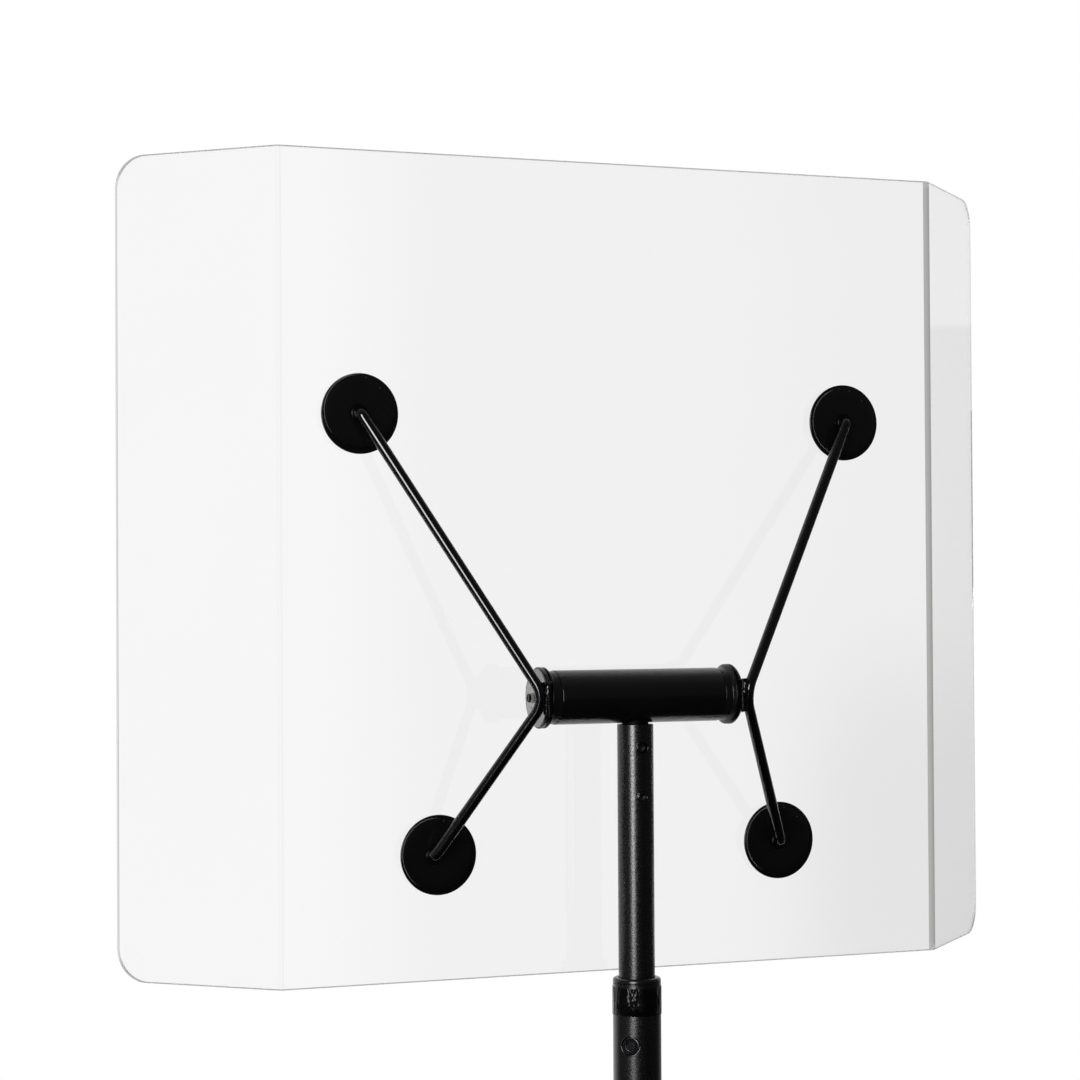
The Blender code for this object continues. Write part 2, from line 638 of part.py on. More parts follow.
def make_arm_plate(name, turn, tilt):
    """Round plate on the stud, with a front lug bent outwards into a tab for the rod.

    Local -Y is forwards, and local +Z is outwards. The outline ends with the tab's root.
    """
    radius = ARM_PLATE_DIAMETER / 2
    half = ARM_TAB_HEIGHT / 2
    lug = math.asin(half / radius)
    turns = [lug + 2 * (math.pi - lug) * step / ROUND_SIDES for step in range(ROUND_SIDES + 1)]
    outline = [(radius * math.sin(angle), -radius * math.cos(angle)) for angle in turns]
    outline += [(-half, -TAB_BACK), (half, -TAB_BACK)]
    work = bmesh.new()
    back = [work.verts.new((x, y, PLATE_BACK)) for x, y in outline]
    face = [work.verts.new((x, y, PLATE_FACE)) for x, y in outline]
    front_back = [work.verts.new((x, -TAB_FRONT, PLATE_BACK)) for x in (-half, half)]
    front_end = [work.verts.new((x, -TAB_FRONT, TAB_END)) for x in (-half, half)]
    root_end = [work.verts.new((x, -TAB_BACK, TAB_END)) for x in (-half, half)]
    work.faces.new(back)
    work.faces.new(face)
    for step in range(-1, len(outline) - 2):
        work.faces.new((back[step], back[step + 1], face[step + 1], face[step]))
    tab_edges = (back[-2:], front_back, front_end, root_end, face[-2:])
    for first, second in zip(tab_edges, tab_edges[1:]):
        work.faces.new((first[0], first[1], second[1], second[0]))
    for corner in (0, 1):
        work.faces.new([edge[corner] for edge in tab_edges])
    label = f"arm_plate_{name}"
    plate = new_piece(label, finish_mesh(label, work), "gloss_black", tilt, turn=turn)
    drill(plate, f"plate_bore_{name}", STUD_HOLE, TUBE_END, STUD_END, turn=turn)


def disc_places(side):
    """Each disc of one side, as its name and its place across and above the tilt axis."""
    return (
        ("upper", side * DISC_UPPER_SPREAD, DISC_UPPER_RISE),
        ("lower", side * DISC_LOWER_SPREAD, -DISC_LOWER_DROP),
    )


def make_discs(name, side, tilt):
    """Disc, bonding pad and weld collar at each end of one rod."""
    radius = DISC_DIAMETER / 2
    disc = [
        (0, DISC_THICKNESS),
        (radius - DISC_CHAMFER, DISC_THICKNESS),
        (radius, DISC_THICKNESS - DISC_CHAMFER),
        (radius, 0),
        (0, 0),
    ]
    pad = rod_outline(radius + PAD_OVERHANG, 0, PAD_THICKNESS)
    inner = ROD_RADIUS + SEAT_FIT
    collar = [
        (inner, COLLAR_HEIGHT),
        (inner + COLLAR_WIDTH / 3, COLLAR_HEIGHT),
        (inner + COLLAR_WIDTH, COLLAR_HEIGHT / 3),
        (inner + COLLAR_WIDTH, 0),
        (inner, 0),
    ]
    kinds = (
        ("disc", disc, "satin_black", DISC_BACK, ROUND_SIDES),
        ("bond_pad", pad, "black_rubber", PAD_BACK, ROUND_SIDES),
        ("weld_collar", collar, "gloss_black", DISC_FACE - FACE_GAP, SMALL_SIDES),
    )
    for level, across, rise in disc_places(side):
        for kind, outline, finish, back, sides in kinds:
            label = f"{kind}_{level}_{name}"
            mesh = turned_mesh(label, outline, sides)
            new_piece(label, mesh, finish, tilt, (across, back, rise), TOWARDS_FRONT)


def make_rod(name, side, tilt):
    """Round bar bent into a V, whose ends turn in square to the discs."""
    ends = []
    elbows = []
    for _, across, rise in disc_places(side):
        ends.append(Vector((across, DISC_FACE - FACE_GAP, rise)))
        elbows.append(Vector((across, DISC_FACE - ROD_ELBOW_STANDOFF, rise)))
    apex = Vector((side * ROD_APEX_SPREAD, -ROD_APEX_FORWARD, 0))
    corner = sharp_corner(elbows[0], apex, elbows[1], ROD_APEX_RADIUS)
    corners = [ends[0], elbows[0], corner, elbows[1], ends[1]]
    points = rounded_path(corners, [ROD_ELBOW_RADIUS, ROD_APEX_RADIUS, ROD_ELBOW_RADIUS])

    label = f"v_rod_{name}"
    curve = bpy.data.curves.new(label, "CURVE")
    curve.dimensions = "3D"
    curve.bevel_depth = ROD_RADIUS
    curve.bevel_resolution = ROD_SIDES // 2 - 2
    curve.use_fill_caps = True
    spline = curve.splines.new("POLY")
    spline.points.add(len(points) - 1)
    for target, point in zip(spline.points, points):
        target.co = (*point, 1)
    new_piece(label, curve, "gloss_black", tilt)


def half_turn_at(before, corner, after):
    return (math.pi - (before - corner).angle(after - corner)) / 2


def middle_way(before, corner, after):
    return ((before - corner).normalized() + (after - corner).normalized()).normalized()


def sharp_corner(before, apex, after, radius):
    """Corner whose rounding, with this radius, passes through the apex."""
    spare = radius / math.cos(half_turn_at(before, apex, after)) - radius
    return apex - middle_way(before, apex, after) * spare


def rounded_path(corners, radii):
    """Points along straight runs whose inner corners are rounded with arcs."""
    points = [corners[0]]
    for before, corner, after, radius in zip(corners, corners[1:], corners[2:], radii):
        half_turn = half_turn_at(before, corner, after)
        reach = radius * math.tan(half_turn)
        centre = corner + middle_way(before, corner, after) * radius / math.cos(half_turn)
        start = corner + (before - corner).normalized() * reach - centre
        end = corner + (after - corner).normalized() * reach - centre
        for step in range(ELBOW_STEPS + 1):
            points.append(centre + start.slerp(end, step / ELBOW_STEPS) * radius)
    points.append(corners[-1])
    return points


def make_screen(tilt):
    """Bent sheet, as a row of upright sections from its left edge to its right."""
    right = screen_sections()
    left = [mirrored(section) for section in reversed(right)]
    work = bmesh.new()
    sections = []
    for outer, inner, high in left + right:
        corners = [(*outer, -high), (*outer, high), (*inner, high), (*inner, -high)]
        sections.append([work.verts.new(corner) for corner in corners])
    bridge_sections(work, sections)
    mesh = finish_mesh("acrylic_screen", work)
    place = (SCREEN_SIDE_OFFSET, SCREEN_STANDOFF, SCREEN_RISE)
    new_piece("acrylic_screen", mesh, "clear_acrylic", tilt, place)


def screen_sections():
    """Sections of the right half: outer point, inner point and half height.

    The fold turns back towards +Y. Past it the sheet runs straight to a rounded end.
    """
    outer_radius = SCREEN_FOLD_RADIUS + SCREEN_THICKNESS
    trim = outer_radius * math.tan(SCREEN_FOLD / 2)
    centre = Vector((SCREEN_CENTRE_WIDTH / 2 - trim, outer_radius))
    half_height = SCREEN_HEIGHT / 2
    sections = []
    for step in range(FOLD_STEPS + 1):
        angle = SCREEN_FOLD * step / FOLD_STEPS
        out = Vector((math.sin(angle), -math.cos(angle)))
        outer = centre + out * outer_radius
        inner = centre + out * SCREEN_FOLD_RADIUS
        sections.append((outer, inner, half_height))
    along = Vector((math.cos(SCREEN_FOLD), math.sin(SCREEN_FOLD)))
    straight = SCREEN_WING_WIDTH - trim - SCREEN_CORNER_RADIUS
    for step in range(CORNER_STEPS + 1):
        angle = math.pi / 2 * step / CORNER_STEPS
        run = along * (straight + SCREEN_CORNER_RADIUS * math.sin(angle))
        drop = SCREEN_CORNER_RADIUS * (1 - math.cos(angle))
        sections.append((outer + run, inner + run, half_height - drop))
    return sections


def mirrored(section):
    outer, inner, half_height = section
    return Vector((-outer.x, outer.y)), Vector((-inner.x, inner.y)), half_height


def main():
    clear_scene()
    stand = new_axis("stand", None, (-SCREEN_SIDE_OFFSET, 0, 0))
    slide = new_axis("height_slide", stand, (0, 0, GUIDE_TOP))
    swivel = new_axis("mast_swivel", slide, (0, 0, MAST_TOP - GUIDE_TOP))
    tilt = new_axis("screen_tilt", swivel, (0, 0, TILT_AXIS - MAST_TOP))
    make_base_plate(stand)
    make_feet(stand)
    make_tube_seat(stand)
    make_base_bolt(stand)
    make_lower_tube(stand)
    make_top_bush(stand)
    make_brake(stand)
    make_guide(slide)
    make_mast(swivel)
    make_mast_end(swivel)
    make_cross_tube(swivel)
    make_stud(tilt)
    for name, side, turn in SIDES:
        make_arm_plate(name, turn, tilt)
        make_end_washer(name, turn, tilt)
        make_nut(name, turn, tilt)
        make_rod(name, side, tilt)
        make_discs(name, side, tilt)
    make_screen(tilt)


main()
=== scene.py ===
"""Looks of the acoustic screen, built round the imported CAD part. Lengths are in metres."""

import json
import math
from collections import namedtuple

import bmesh
import bpy
from mathutils import Matrix, Vector, noise

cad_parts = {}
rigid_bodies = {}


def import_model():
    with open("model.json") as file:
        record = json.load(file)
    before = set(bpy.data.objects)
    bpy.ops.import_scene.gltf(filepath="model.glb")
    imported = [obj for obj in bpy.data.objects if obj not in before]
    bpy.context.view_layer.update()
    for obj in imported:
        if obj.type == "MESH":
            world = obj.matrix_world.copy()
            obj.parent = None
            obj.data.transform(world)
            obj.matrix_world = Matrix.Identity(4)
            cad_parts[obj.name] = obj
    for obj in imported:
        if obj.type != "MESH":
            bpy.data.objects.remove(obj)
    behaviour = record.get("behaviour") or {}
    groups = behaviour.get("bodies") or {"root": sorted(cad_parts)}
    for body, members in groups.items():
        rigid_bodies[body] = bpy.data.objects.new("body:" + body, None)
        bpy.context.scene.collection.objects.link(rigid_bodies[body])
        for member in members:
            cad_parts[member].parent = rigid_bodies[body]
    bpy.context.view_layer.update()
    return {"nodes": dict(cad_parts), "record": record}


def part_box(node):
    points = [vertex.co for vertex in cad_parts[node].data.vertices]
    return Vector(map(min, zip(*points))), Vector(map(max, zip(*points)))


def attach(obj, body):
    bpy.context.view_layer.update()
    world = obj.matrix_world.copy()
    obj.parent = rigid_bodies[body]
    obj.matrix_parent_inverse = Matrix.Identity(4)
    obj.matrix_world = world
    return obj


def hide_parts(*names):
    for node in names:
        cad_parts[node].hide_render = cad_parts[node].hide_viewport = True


for left_over in list(bpy.data.objects):
    bpy.data.objects.remove(left_over, do_unlink=True)
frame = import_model()

MM = 0.001

# Camera, fitted to the photograph's corners and folds
IMAGE_SIDE = 1080
FOCAL_PIXELS = 2771
SENSOR = 36
AZIMUTH = math.radians(-22.1)
ELEVATION = math.radians(-1.0)
ROLL = math.radians(-0.33)
ACROSS = 50.1 * MM
ALONG = -15.9 * MM
DISTANCE = 1719.4 * MM

# Screen
SHEET_WING_WIDTH = 112 * MM
SHEET_CENTRE_WIDTH = 441 * MM
SHEET_FOLD = math.radians(45)
SHEET_THICKNESS = 5 * MM
SHEET_FOLD_RADIUS = 1.5 * MM
SHEET_CORNER_RADIUS = 20 * MM
SHEET_EDGE = 0.35 * MM
SHEET_SUPPORT = 1.5 * MM

# Rods and welds
ROD_RADIUS = 3.25 * MM
ROD_APEX_RADIUS = 16.5 * MM
ROD_ELBOW_RADIUS = 4.2 * MM
ROD_ELBOW_STANDOFF = 4.2 * MM
ROD_ELBOW_SWELL = 0.12
ROD_SIDES = 80
ROD_ELBOW_REACH = 4 * MM
ROD_END_SHIFTS = {"upper_left": -1.4 * MM, "lower_left": -4.2 * MM,
                  "upper_right": -1.3 * MM, "lower_right": -1.8 * MM}
ROD_APEX_SPREAD = 68.4 * MM
ROD_APEX_FORWARD = 16.4 * MM

# Discs, each a little smaller than its pad, domed and not quite in its middle
DISC_STEP = 1.5 * MM
DISC_BEVEL = 0.9 * MM
DISC_SHOULDER = 1.2 * MM
DISC_DOME = 0.2 * MM
DISC_DOME_REACH = 5 * MM
DISC_DOME_STEPS = 8
PAD_SPARE = 0.7 * MM
DISC_SHIFTS = {"upper_left": (-0.5 * MM, 1.3 * MM), "lower_left": (-1.2 * MM, 0.7 * MM),
               "upper_right": (-0.7 * MM, 0.2 * MM), "lower_right": (-1.1 * MM, 0.7 * MM)}

# Head
STUD_HOLE = 2.95 * MM
CROSS_TUBE_WALL = 2 * MM
PLATE_THICKNESS = 1.4 * MM
TAB_HEIGHT = 18.6 * MM
TAB_BACK = 17.6 * MM
TAB_THICKNESS = 2.3 * MM
NUT_FLATS = 19.6 * MM
NUT_CROWN = 9.4 * MM
NUT_PIT_DROP = 6 * MM
NUT_BLUNT = 0.12 * MM
NUT_SHARP_ANGLE = math.radians(20)
THREAD_PITCH = 0.8 * MM
THREAD_DEPTH = 0.4 * MM
THREAD_RINGS = 48
THREAD_RUN_OUT = 0.6 * MM
THREAD_TAPER = 0.35 * MM
STUD_OXIDE_DEPTH = 1.3 * MM
BUSH_INSET = 0.35 * MM
BUSH_FLANGE = 1 * MM
BUSH_NECK = 4.8 * MM
BUSH_WALL = 2.2 * MM
SLIDING_GAP = 0.1 * MM
SEAT_GAP = 0.2 * MM

# Welds where a rod meets its disc: size and shares of ripple and lumps
WELD_OVERLAP = 0.1 * MM
WELD_SIZE = 0.88
WELD_RIPPLES = 11
WELD_RIPPLE = 0.015
WELD_LUMP = 0.14

# Beads of weld where a rod's apex lies against the end of its tab. Each lies forward of the cross
# tube's axis and inside the tab's end, moved to the rod by share, from level up and down by reach.
Bead = namedtuple("Bead", "kind forward radius inside share level reach look")
APEX_BEADS = (
    Bead("front", TAB_BACK + 0.6 * MM, 2.35 * MM, 0.5 * MM, 0.12, 0, 10 * MM, "weld_black"),
    Bead("corner", TAB_BACK + 1.2 * MM, 1.75 * MM, 1.15 * MM, 0, -0.2 * MM, 10.2 * MM,
         "weld_black"),
    Bead("bead", TAB_BACK + 1.5 * MM, 1.9 * MM, 0.6 * MM, 0.08, 4.4 * MM, 3.2 * MM, "gloss_black"),
    Bead("back", TAB_BACK + 0.2 * MM, 1.2 * MM, 0, 0.24, 0, 8.8 * MM, "gloss_black"),
)
APEX_RANGE = 11 * MM
BEAD_STEPS = 96
BEAD_SIDES = 28
BEAD_TAPER = 0.88
BEAD_SWAY = 0.4 * MM
BEAD_SIZE = 0.93
BEAD_LUMP = 0.36
BEAD_GRAIN = 0.1

# Mast and lower tube
MAST_WALL = 1.5 * MM
MAST_CAP = 0.45 * MM
SCREW_HOLES = {"upper": 3.7 * MM, "lower": 3.15 * MM}
SCREW_KEY = 3 * MM
LOWER_TUBE_WALL = 2 * MM
BRAKE_DROP = 36.6 * MM
BRAKE_TURN = math.radians(-41)
BRAKE_HOLE = 5.55 * MM
BRAKE_SINK = 1.15 * MM
BRAKE_THICKNESS = 1.3 * MM
BRAKE_KEY = 5.2 * MM
BRAKE_KEY_DEPTH = 0.75 * MM
BAND_THICKNESS = 0.25 * MM
LIP_THICKNESS = 0.5 * MM

# Studio
FLOOR_RADIUS = 2.4
FLOOR_DROP = 0.0005

ROUND = 144
SMALL_ROUND = 72
SMOOTH_ANGLE = math.radians(35)
TOWARDS_RIGHT = (0, math.radians(90), 0)
TOWARDS_LEFT = (0, math.radians(-90), 0)
TOWARDS_FRONT = (math.radians(90), 0, 0)
TOWARDS_BRAKE = (math.radians(90), 0, BRAKE_TURN)
SIDES = (("left", -1, TOWARDS_LEFT), ("right", 1, TOWARDS_RIGHT))


def centre_of(node):
    low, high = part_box(node)
    return (low + high) / 2


def size_of(node):
    low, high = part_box(node)
    return high - low


HEAD = centre_of("cross_tube")
AXIS = Vector((HEAD.x, 0, 0))
ORIGIN = Vector()


def span(node, side):
    """Near and far distance of a node's ends from the middle of the cross tube."""
    low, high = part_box(node)
    return sorted((side * (low.x - HEAD.x), side * (high.x - HEAD.x)))


def end_piece(node, side):
    """Near end, far end and radius of a round node on the cross tube's axis."""
    return (*span(node, side), size_of(node).z / 2)


def panel_middle():
    """Middle of the panel's outer face."""
    low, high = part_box("acrylic_screen")
    return Vector(((low.x + high.x) / 2, low.y, (low.z + high.z) / 2))


def direction(azimuth, elevation):
    """Unit vector from the object, where azimuth 0 is the front."""
    flat = math.cos(elevation)
    return Vector((math.sin(azimuth) * flat, -math.cos(azimuth) * flat, math.sin(elevation)))


# Node graphs


class Graph:
    """The node tree of a material or world, with short ways to add nodes."""

    def __init__(self, owner):
        owner.use_nodes = True
        self.tree = owner.node_tree

    def connect(self, node, inputs):
        """Gives each input its link or its plain value. A colour is given without alpha."""
        for key, value in inputs.items():
            target = node.inputs[key]
            if isinstance(value, bpy.types.NodeSocket):
                self.tree.links.new(value, target)
            else:
                target.default_value = (*value, 1) if target.type == "RGBA" else value

    def node(self, kind, inputs=None, **settings):
        node = self.tree.nodes.new(kind)
        for key, value in settings.items():
            setattr(node, key, value)
        self.connect(node, inputs or {})
        return node

    def math(self, operation, *values):
        node = self.node("ShaderNodeMath", dict(enumerate(values)), operation=operation)
        return node.outputs["Value"]

    def product(self, first, *others):
        for other in others:
            first = self.math("MULTIPLY", first, other)
        return first

    def total(self, first, second):
        return self.math("ADD", first, second)

    def vector_math(self, operation, *vectors):
        """Number that an operation makes of one or two vectors."""
        node = self.node("ShaderNodeVectorMath", dict(enumerate(vectors)), operation=operation)
        return node.outputs["Value"]

    def parts(self, vector):
        return self.node("ShaderNodeSeparateXYZ", {"Vector": vector}).outputs

    def joined(self, across, up):
        """Vector of two numbers and 0."""
        return self.node("ShaderNodeCombineXYZ", {"X": across, "Y": up}).outputs["Vector"]

    def spread(self, value, low, high, start=0.0, end=1.0, kind="LINEAR"):
        """Maps value from start..end to low..high."""
        inputs = {"Value": value, "From Min": start, "From Max": end, "To Min": low, "To Max": high}
        return self.node("ShaderNodeMapRange", inputs, interpolation_type=kind).outputs["Result"]

    def fade(self, value, start, end, low, high):
        """Goes softly from low to high as value goes from start to end."""
        return self.spread(value, low, high, start, end, "SMOOTHSTEP")

    def choose(self, share, low, high):
        """Number that is low where share is 0 and high where it is 1."""
        inputs = {"Factor": share, "A": low, "B": high}
        return self.node("ShaderNodeMix", inputs, data_type="FLOAT").outputs["Result"]


class Look(Graph):
    """A material's graph, round its one surface shader."""

    def __init__(self, name):
        self.material = bpy.data.materials.new(name)
        super().__init__(self.material)
        self.shader = self.tree.nodes["Principled BSDF"]
        self.output = self.tree.nodes["Material Output"]
        coordinates = self.node("ShaderNodeTexCoord")
        self.place = coordinates.outputs["Object"]
        self.facing = coordinates.outputs["Normal"]

    def shade(self, inputs):
        self.connect(self.shader, inputs)

    def stretched(self, scale):
        inputs = {"Vector": self.place, "Scale": scale}
        return self.node("ShaderNodeMapping", inputs).outputs["Vector"]

    def noise(self, scale, detail=2.0, roughness=0.5, place=None):
        inputs = {"Scale": scale, "Detail": detail, "Roughness": roughness,
                  "Vector": place or self.place}
        return self.node("ShaderNodeTexNoise", inputs).outputs["Fac"]

    def ramp(self, value, start, first, end, second):
        """Colour that goes from first to second as value goes from start to end."""
        node = self.node("ShaderNodeValToRGB", {"Fac": value})
        stops = ((start, first), (end, second))
        for element, (position, colour) in zip(node.color_ramp.elements, stops):
            element.position = position
            element.color = (*colour, 1)
        return node.outputs["Color"]

    def blend(self, share, first, second):
        """Colour that goes from first to second, by the Mix node's colour sockets."""
        inputs = {0: share, 6: first, 7: second}
        return self.node("ShaderNodeMix", inputs, data_type="RGBA").outputs[2]

    def specks(self, scale, size, share):
        """Small round specks, in a share of the cells."""
        cells = self.node("ShaderNodeTexVoronoi", {"Scale": scale, "Vector": self.place})
        dot = self.spread(cells.outputs["Distance"], 1, 0, size * 0.5, size)
        colour = self.node("ShaderNodeSeparateColor", {"Color": cells.outputs["Color"]})
        chosen = self.spread(colour.outputs[0], 0, 1, 1 - share, 1 - share * 0.6)
        return self.product(dot, chosen)

    def bump(self, height, distance):
        node = self.node("ShaderNodeBump", {"Height": height, "Distance": distance})
        self.shade({"Normal": node.outputs["Normal"]})


def grey(level):
    return level, level, level


def powder_coat():
    """Black powder coat with a fine pebbled texture that sparkles in the highlights."""
    look = Look("textured_powder_coat")
    look.shade({
        "IOR": 1.5,
        "Base Color": look.ramp(look.noise(14, 4, 0.6), 0.3, grey(0.0004), 0.75, grey(0.0008)),
        "Roughness": look.spread(look.noise(1100, 1), 0.2, 0.34, 0.35, 0.65),
    })
    look.bump(look.noise(1300, 1), 0.00005)
    return look.material


def smooth_paint(name, roughness, ripple, grit, gloss=1.5):
    """Black paint, with a faint ripple in its gloss and a few specks of dust."""
    look = Look(name)
    slow = look.noise(35, 3)
    look.shade({
        "IOR": gloss,
        "Base Color": look.blend(look.specks(230, 0.09, 0.1), grey(0.0007), grey(0.03)),
        "Roughness": look.spread(slow, roughness * 0.92, roughness * 1.1, 0.3, 0.7),
    })
    look.bump(look.noise(grit), ripple)
    return look.material


def black_plastic(name, smooth, rough, gloss=1.46):
    """Moulded plastic with a fine grain."""
    look = Look(name)
    grain = look.noise(2200)
    cloud = look.noise(20, 3)
    look.shade({
        "IOR": gloss,
        "Base Color": look.ramp(cloud, 0.3, (0.0012, 0.0012, 0.0013),
                                0.7, (0.0022, 0.0022, 0.0024)),
        "Roughness": look.spread(grain, smooth, rough, 0.3, 0.7),
    })
    look.bump(grain, 0.00003)
    return look.material


def rubber():
    """Matt black rubber with a coarse grain."""
    look = Look("soft_rubber")
    grain = look.noise(1400, 3, 0.6)
    look.shade({
        "IOR": 1.45,
        "Base Color": look.ramp(grain, 0.3, grey(0.006), 0.7, grey(0.011)),
        "Roughness": look.spread(grain, 0.6, 0.85, 0.3, 0.7),
    })
    look.bump(grain, 0.00008)
    return look.material


def zinc(name, colour, roughness, metallic=1.0, oxide=None, end=0.0):
    """Plated steel, with turning marks round its own axis.

    Oxide covers the faces past end, but not their core.
    """
    look = Look(name)
    blotch = look.noise(260, 4, 0.6)
    parts = look.parts(look.place)
    reach = look.vector_math("LENGTH", look.joined(parts["X"], parts["Y"]))
    marks = look.noise(2600, 3, 0.6, look.joined(reach, parts["Z"]))
    plate = look.ramp(blotch, 0.3, tuple(0.72 * part for part in colour), 0.7, colour)
    if oxide:
        on_face = look.spread(look.math("ABSOLUTE", parts["Z"]), 0, 1, end, end + 0.1 * MM)
        ring = look.spread(reach, 0, 1, 1.0 * MM, 1.3 * MM)
        plate = look.blend(look.product(on_face, ring), plate, oxide)
    look.shade({
        "Metallic": metallic,
        "Base Color": plate,
        "Roughness": look.spread(marks, roughness * 0.7, roughness * 1.4, 0.3, 0.7),
    })
    look.bump(look.math("MULTIPLY_ADD", blotch, 0.5, marks), 0.00003)
    return look.material


def film():
    """Glossy black film of the blank label band."""
    look = Look("glossy_film")
    scuff = look.noise(80, 4, 0.7)
    look.shade({
        "IOR": 1.22,
        "Base Color": look.ramp(scuff, 0.5, (0.0006, 0.0006, 0.0008), 0.9, (0.008, 0.008, 0.009)),
        "Roughness": look.spread(scuff, 0.09, 0.16, 0.3, 0.8),
    })
    look.bump(look.noise(420, 2, 0.5, look.stretched((1, 1, 0.3))), 0.0009)
    return look.material


def acrylic():
    """Clear acrylic, a little grey and faintly wavy, with sawn upper and lower edges. Its inside
    glows a little, which is painted light.
    """
    look = Look("clear_acrylic")
    cloud = look.noise(7, 3)
    clear = look.ramp(cloud, 0.3, (0.976, 0.980, 0.976), 0.7, (0.986, 0.988, 0.986))
    upright = look.math("ABSOLUTE", look.parts(look.facing)["Z"])
    sawn = look.spread(upright, 0, 1, 0.15, 0.5)
    saw = look.noise(900, 3, 0.6, look.stretched((1, 1, 0.05)))
    polished = look.spread(cloud, 0.0, 0.01, 0.3, 0.7)
    matt = look.product(sawn, look.spread(saw, 0.14, 0.22, 0.3, 0.7))
    look.shade({
        "IOR": 1.49,
        "Transmission Weight": look.spread(sawn, 1.0, 0.4),
        "Base Color": look.blend(sawn, clear, (0.42, 0.44, 0.43)),
        "Roughness": look.total(polished, matt),
    })
    look.bump(look.noise(5), 0.00005)
    loss = look.node("ShaderNodeVolumeAbsorption", {"Color": (0.0, 0.04, 0.0), "Density": 12})
    # Painted glow: the sheet's inside emits light, most where a ray runs far through it, as along
    # the folds.
    added_glow = look.node("ShaderNodeEmission", {"Color": (1, 1, 0.99), "Strength": 10})
    inside = look.node("ShaderNodeAddShader",
                       {0: loss.outputs["Volume"], 1: added_glow.outputs["Emission"]})
    look.connect(look.output, {"Volume": inside.outputs["Shader"]})
    return look.material


LOOKS = {
    "textured_black": powder_coat(),
    "satin_black": smooth_paint("satin_paint", 0.22, 0.000004, 700),
    "gloss_black": smooth_paint("gloss_paint", 0.14, 0.000004, 900),
    # Paint that barely reflects, for the neck spigot: painted shade.
    "shaded_neck_black": smooth_paint("shaded_neck_paint", 0.5, 0.00002, 900, 1.12),
    "weld_black": smooth_paint("weld_paint", 0.28, 0.00005, 170, 1.16),
    "label_black": film(),
    "black_plastic": black_plastic("moulded_plastic", 0.34, 0.5),
    "bush_plastic": black_plastic("turned_plastic", 0.17, 0.26),
    "flange_plastic": black_plastic("flange_plastic", 0.2, 0.3, 1.33),
    "black_rubber": rubber(),
    "zinc": zinc("bright_zinc", (0.34, 0.34, 0.33), 0.36),
    "nut_zinc": zinc("nut_zinc", (0.42, 0.42, 0.41), 0.28),
    "stud_zinc": zinc("stud_zinc", (0.5, 0.49, 0.48), 0.4, 0.25, (0.01, 0.0015, 0.0012),
                      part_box("tilt_stud")[1].x - HEAD.x - STUD_OXIDE_DEPTH),
    "dark_zinc": zinc("black_oxide", (0.08, 0.08, 0.085), 0.26),
    "brake_zinc": zinc("brake_oxide", (0.036, 0.036, 0.04), 0.17),
    "clear_acrylic": acrylic(),
}
SLOT_OF = {entry["node"]: entry["material_slot"] for entry in frame["record"]["subparts"]}
BODY_OF = {node: body for body, nodes in frame["record"]["behaviour"]["bodies"].items()
           for node in nodes}

for node, thing in frame["nodes"].items():
    thing.data.materials.clear()
    # The neck spigot gets the paint that barely reflects: painted shade, for the shadow it lies in
    # under the cross tube.
    thing.data.materials.append(LOOKS["shaded_neck_black" if node == "neck_spigot" else SLOT_OF[node]])


# Shapes


def softened(outline, steps=4):
    """Outline of (radius, height) points, where a third value rounds that corner by so much."""
    points = []
    for index, entry in enumerate(outline):
        corner = Vector(entry[:2])
        if len(entry) == 2:
            points.append(tuple(corner))
            continue
        radius = entry[2]
        first = (Vector(outline[index - 1][:2]) - corner).normalized()
        second = (Vector(outline[(index + 1) % len(outline)][:2]) - corner).normalized()
        half = first.angle(second) / 2
        centre = corner + (first + second).normalized() * radius / math.sin(half)
        start = corner + first * radius / math.tan(half) - centre
        end = corner + second * radius / math.tan(half) - centre
        for step in range(steps + 1):
            share = step / steps
            points.append(tuple(centre + (start * (1 - share) + end * share).normalized() * radius))
    return points


def ring_outline(inner, outer, low, high, roundings, steps=4):
    """Outline of a ring, or a disc where inner is 0.

    The roundings are in millimetres, from the inner low edge round to the inner high edge.
    """
    corners = ((inner, low), (outer, low), (outer, high), (inner, high))
    return softened([(*corner, size * MM) if size else corner
                     for corner, size in zip(corners, roundings)], steps)


def hexagon(across_flats, height, blunt=0):
    """Outline point that follows a hexagon with a corner on local X, blunted by so much.

    height may hang on the radius.
    """
    half = across_flats / 2
    half_side_angle = math.radians(30)

    def point(angle):
        from_flat = (angle % (2 * half_side_angle)) - half_side_angle
        radius = min(half / math.cos(from_flat), half / math.cos(half_side_angle) - blunt)
        return radius, height(radius) if callable(height) else height

    return point


def turned(name, outline, sides=ROUND, angle=SMOOTH_ANGLE):
    """Outline turned about local Z. It ends on the axis, or closes up clear of it."""
    work = bmesh.new()
    turns = [2 * math.pi * step / sides for step in range(sides)]
    rings = []
    for entry in outline:
        if callable(entry):
            spots = [entry(turn) for turn in turns]
        elif entry[0] < 1e-9:
            rings.append([work.verts.new((0, 0, entry[1]))])
            continue
        else:
            spots = [entry] * sides
        rings.append([
            work.verts.new((radius * math.cos(turn), radius * math.sin(turn), height))
            for turn, (radius, height) in zip(turns, spots)
        ])
    bands = list(zip(rings, rings[1:]))
    if len(rings[0]) > 1:
        bands.append((rings[-1], rings[0]))
    for first, second in bands:
        for step in range(sides):
            after = step + 1
            corners = (first[step % len(first)], first[after % len(first)],
                       second[after % len(second)], second[step % len(second)])
            work.faces.new(tuple(dict.fromkeys(corners)))
    return smoothed(name, work, angle)


